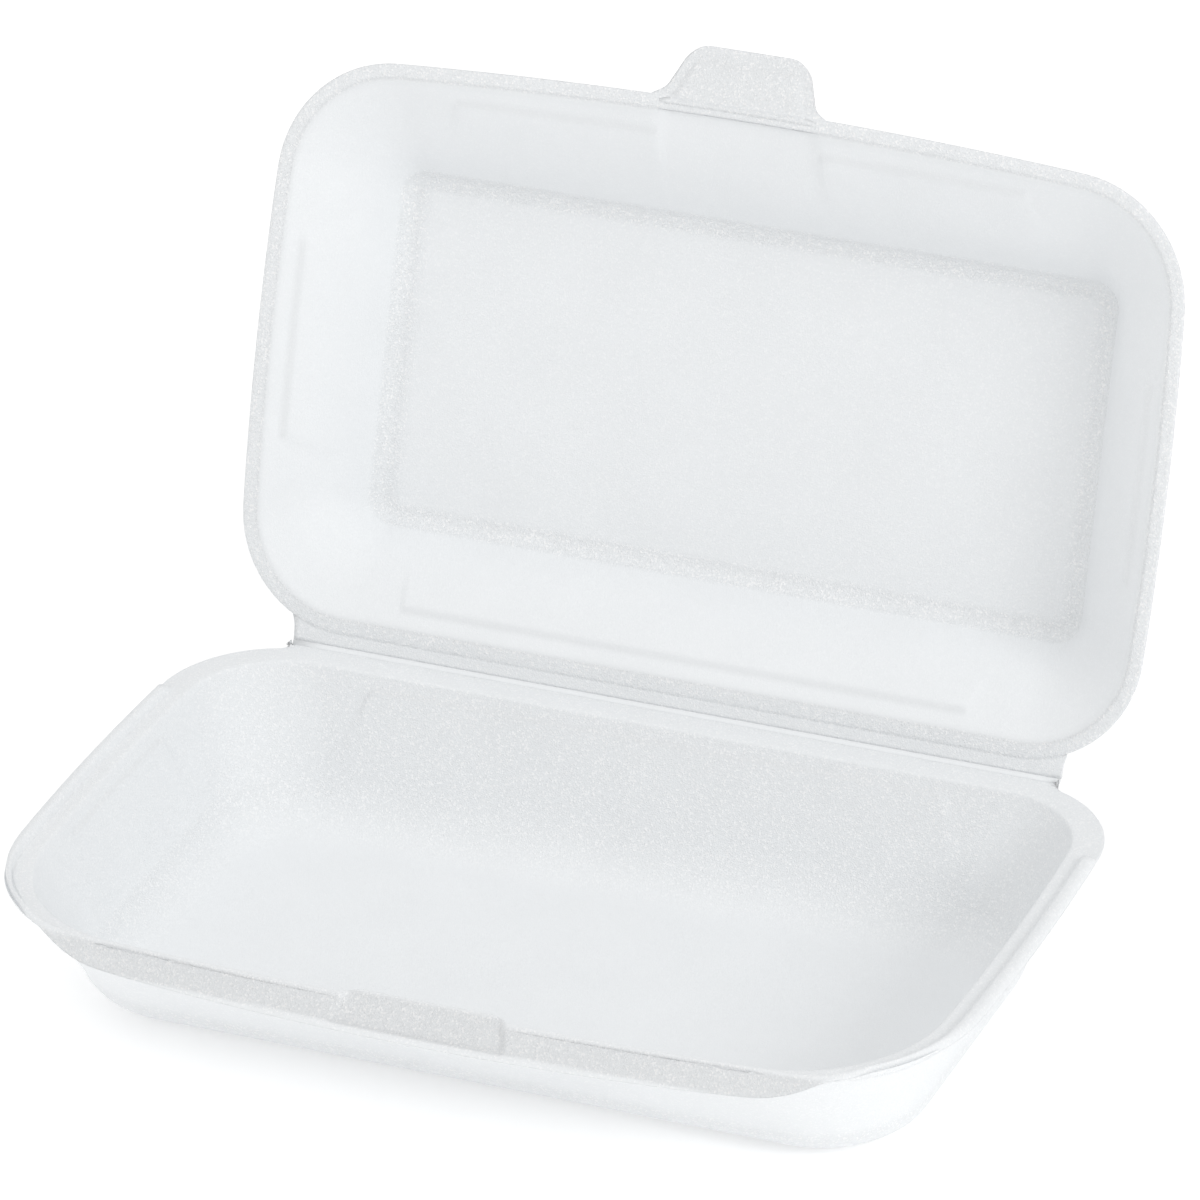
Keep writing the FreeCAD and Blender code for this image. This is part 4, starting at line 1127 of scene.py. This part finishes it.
@dataclass(frozen=True)
class View:
    """The photograph's view of the object: a long lens, from the front left and above."""

    centre: tuple[float, float, float] = (0.0, 0.0735, 0.0365)
    azimuth: float = math.radians(23.8)
    elevation: float = math.radians(28.7)
    roll: float = math.radians(-1.8)
    distance: float = 2.463
    shift_right: float = -0.0171
    shift_up: float = 0.0268
    lens: float = 305.3
    sensor: float = 36.0

    def matrix(self) -> Matrix:
        """The camera's place and turn."""
        sin_a, cos_a = math.sin(self.azimuth), math.cos(self.azimuth)
        sin_e, cos_e = math.sin(self.elevation), math.cos(self.elevation)
        ahead = Vector((-sin_a * cos_e, cos_a * cos_e, -sin_e))
        level = Vector((cos_a, sin_a, 0.0))
        upward = level.cross(ahead)
        right = math.cos(self.roll) * level + math.sin(self.roll) * upward
        above = -math.sin(self.roll) * level + math.cos(self.roll) * upward
        aside = self.shift_right * right + self.shift_up * above
        place = Vector(self.centre) + aside - self.distance * ahead
        turn = Matrix((right, above, -ahead)).transposed().to_4x4()
        turn.translation = place
        return turn


@dataclass(frozen=True)
class SoftBox:
    """A square area light that points at the object."""

    name: str
    place: tuple[float, float, float]
    size: float
    power: float


@dataclass
class Studio:
    """The white floor, the soft light from the right and the camera."""

    view: View = field(default_factory=View)
    floor_half: float = 6.0
    floor_drop: float = 0.0002
    floor_colour: tuple[float, float, float, float] = (0.93, 0.93, 0.93, 1.0)
    floor_pale: tuple[float, float, float, float] = (0.95, 0.95, 0.95, 1.0)
    floor_grain: float = 3.0
    floor_roughness: float = 0.9
    floor_glow: float = 0.26
    air: float = 0.7
    far: float = 20.0
    boxes: tuple[SoftBox, ...] = (
        SoftBox("key", (3.0, -1.2, 1.9), 1.2, 30.0),
        SoftBox("fill", (-1.6, -2.6, 2.4), 2.4, 3.0),
        SoftBox("above", (-0.5, -0.4, 2.6), 2.0, 11.0),
    )

    def build(self) -> None:
        """Make the stage, the lights, the air and the camera."""
        self._floor()
        for box in self.boxes:
            self._light(box)
        self._air()
        self._camera()
        bpy.context.scene.view_settings.view_transform = "Standard"

    def _floor(self) -> None:
        """A pale floor that lies just under the object."""
        mesh = bmesh.new()
        bmesh.ops.create_grid(mesh, x_segments=1, y_segments=1, size=self.floor_half)
        data = bpy.data.meshes.new("floor")
        mesh.to_mesh(data)
        mesh.free()
        floor = bpy.data.objects.new("floor", data)
        floor.location.z = -self.floor_drop
        bpy.context.scene.collection.objects.link(floor)
        web = ShaderWeb(bpy.data.materials.new("floor_paper"))
        grain = web.add("ShaderNodeTexNoise")
        grain.inputs["Scale"].default_value = self.floor_grain
        web.link(web.add("ShaderNodeTexCoord").outputs["Object"], grain.inputs["Vector"])
        tone = web.add("ShaderNodeMix", data_type="RGBA")
        web.link(grain.outputs[0], tone.inputs["Factor"])
        tone.inputs[MIX_FIRST].default_value = self.floor_colour
        tone.inputs[MIX_SECOND].default_value = self.floor_pale
        paper = web.add("ShaderNodeBsdfPrincipled")
        web.link(tone.outputs[MIX_RESULT], paper.inputs["Base Color"])
        paper.inputs["Roughness"].default_value = self.floor_roughness
        paper.inputs["Emission Color"].default_value = WHITE
        paper.inputs["Emission Strength"].default_value = self.floor_glow
        out = web.add("ShaderNodeOutputMaterial")
        web.link(paper.outputs[0], out.inputs["Surface"])
        data.materials.append(web.material)

    def _light(self, box: SoftBox) -> None:
        """Add one soft box, pointed at the middle of the object."""
        data = bpy.data.lights.new(box.name, "AREA")
        data.size = box.size
        data.energy = box.power
        light = bpy.data.objects.new(box.name, data)
        light.location = box.place
        aim = Vector(self.view.centre) - Vector(box.place)
        light.rotation_euler = aim.to_track_quat("-Z", "Y").to_euler()
        bpy.context.scene.collection.objects.link(light)

    def _air(self) -> None:
        """Even white light from all round."""
        world = bpy.context.scene.world or bpy.data.worlds.new("air")
        bpy.context.scene.world = world
        world.use_nodes = True
        nodes = world.node_tree.nodes
        back = nodes.get("Background") or nodes.new("ShaderNodeBackground")
        back.inputs["Color"].default_value = WHITE
        back.inputs["Strength"].default_value = self.air

    def _camera(self) -> None:
        """Set the camera up as in the photograph."""
        data = bpy.data.cameras.new("camera")
        data.lens = self.view.lens
        data.sensor_width = self.view.sensor
        data.sensor_height = self.view.sensor
        data.clip_end = self.far
        camera = bpy.data.objects.new("camera", data)
        camera.matrix_world = self.view.matrix()
        bpy.context.scene.collection.objects.link(camera)
        bpy.context.scene.camera = camera


def main() -> None:
    """Load the frame, dress both halves and the hinge, and set up the studio."""
    logging.basicConfig(level=logging.INFO, format="%(name)s: %(message)s")
    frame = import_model()
    joint = frame["joints"][0]
    hinge = Hinge(y=joint["pos_m"][1], z=joint["pos_m"][2])
    foam = Foam()
    for part in (Tray(hinge), Lid(hinge), HingeSkin(hinge)):
        piece = part.dress(foam)
        log.info("%s: %d faces", piece.name, len(piece.data.polygons))
    Studio().build()


if __name__ == "__main__":
    main()
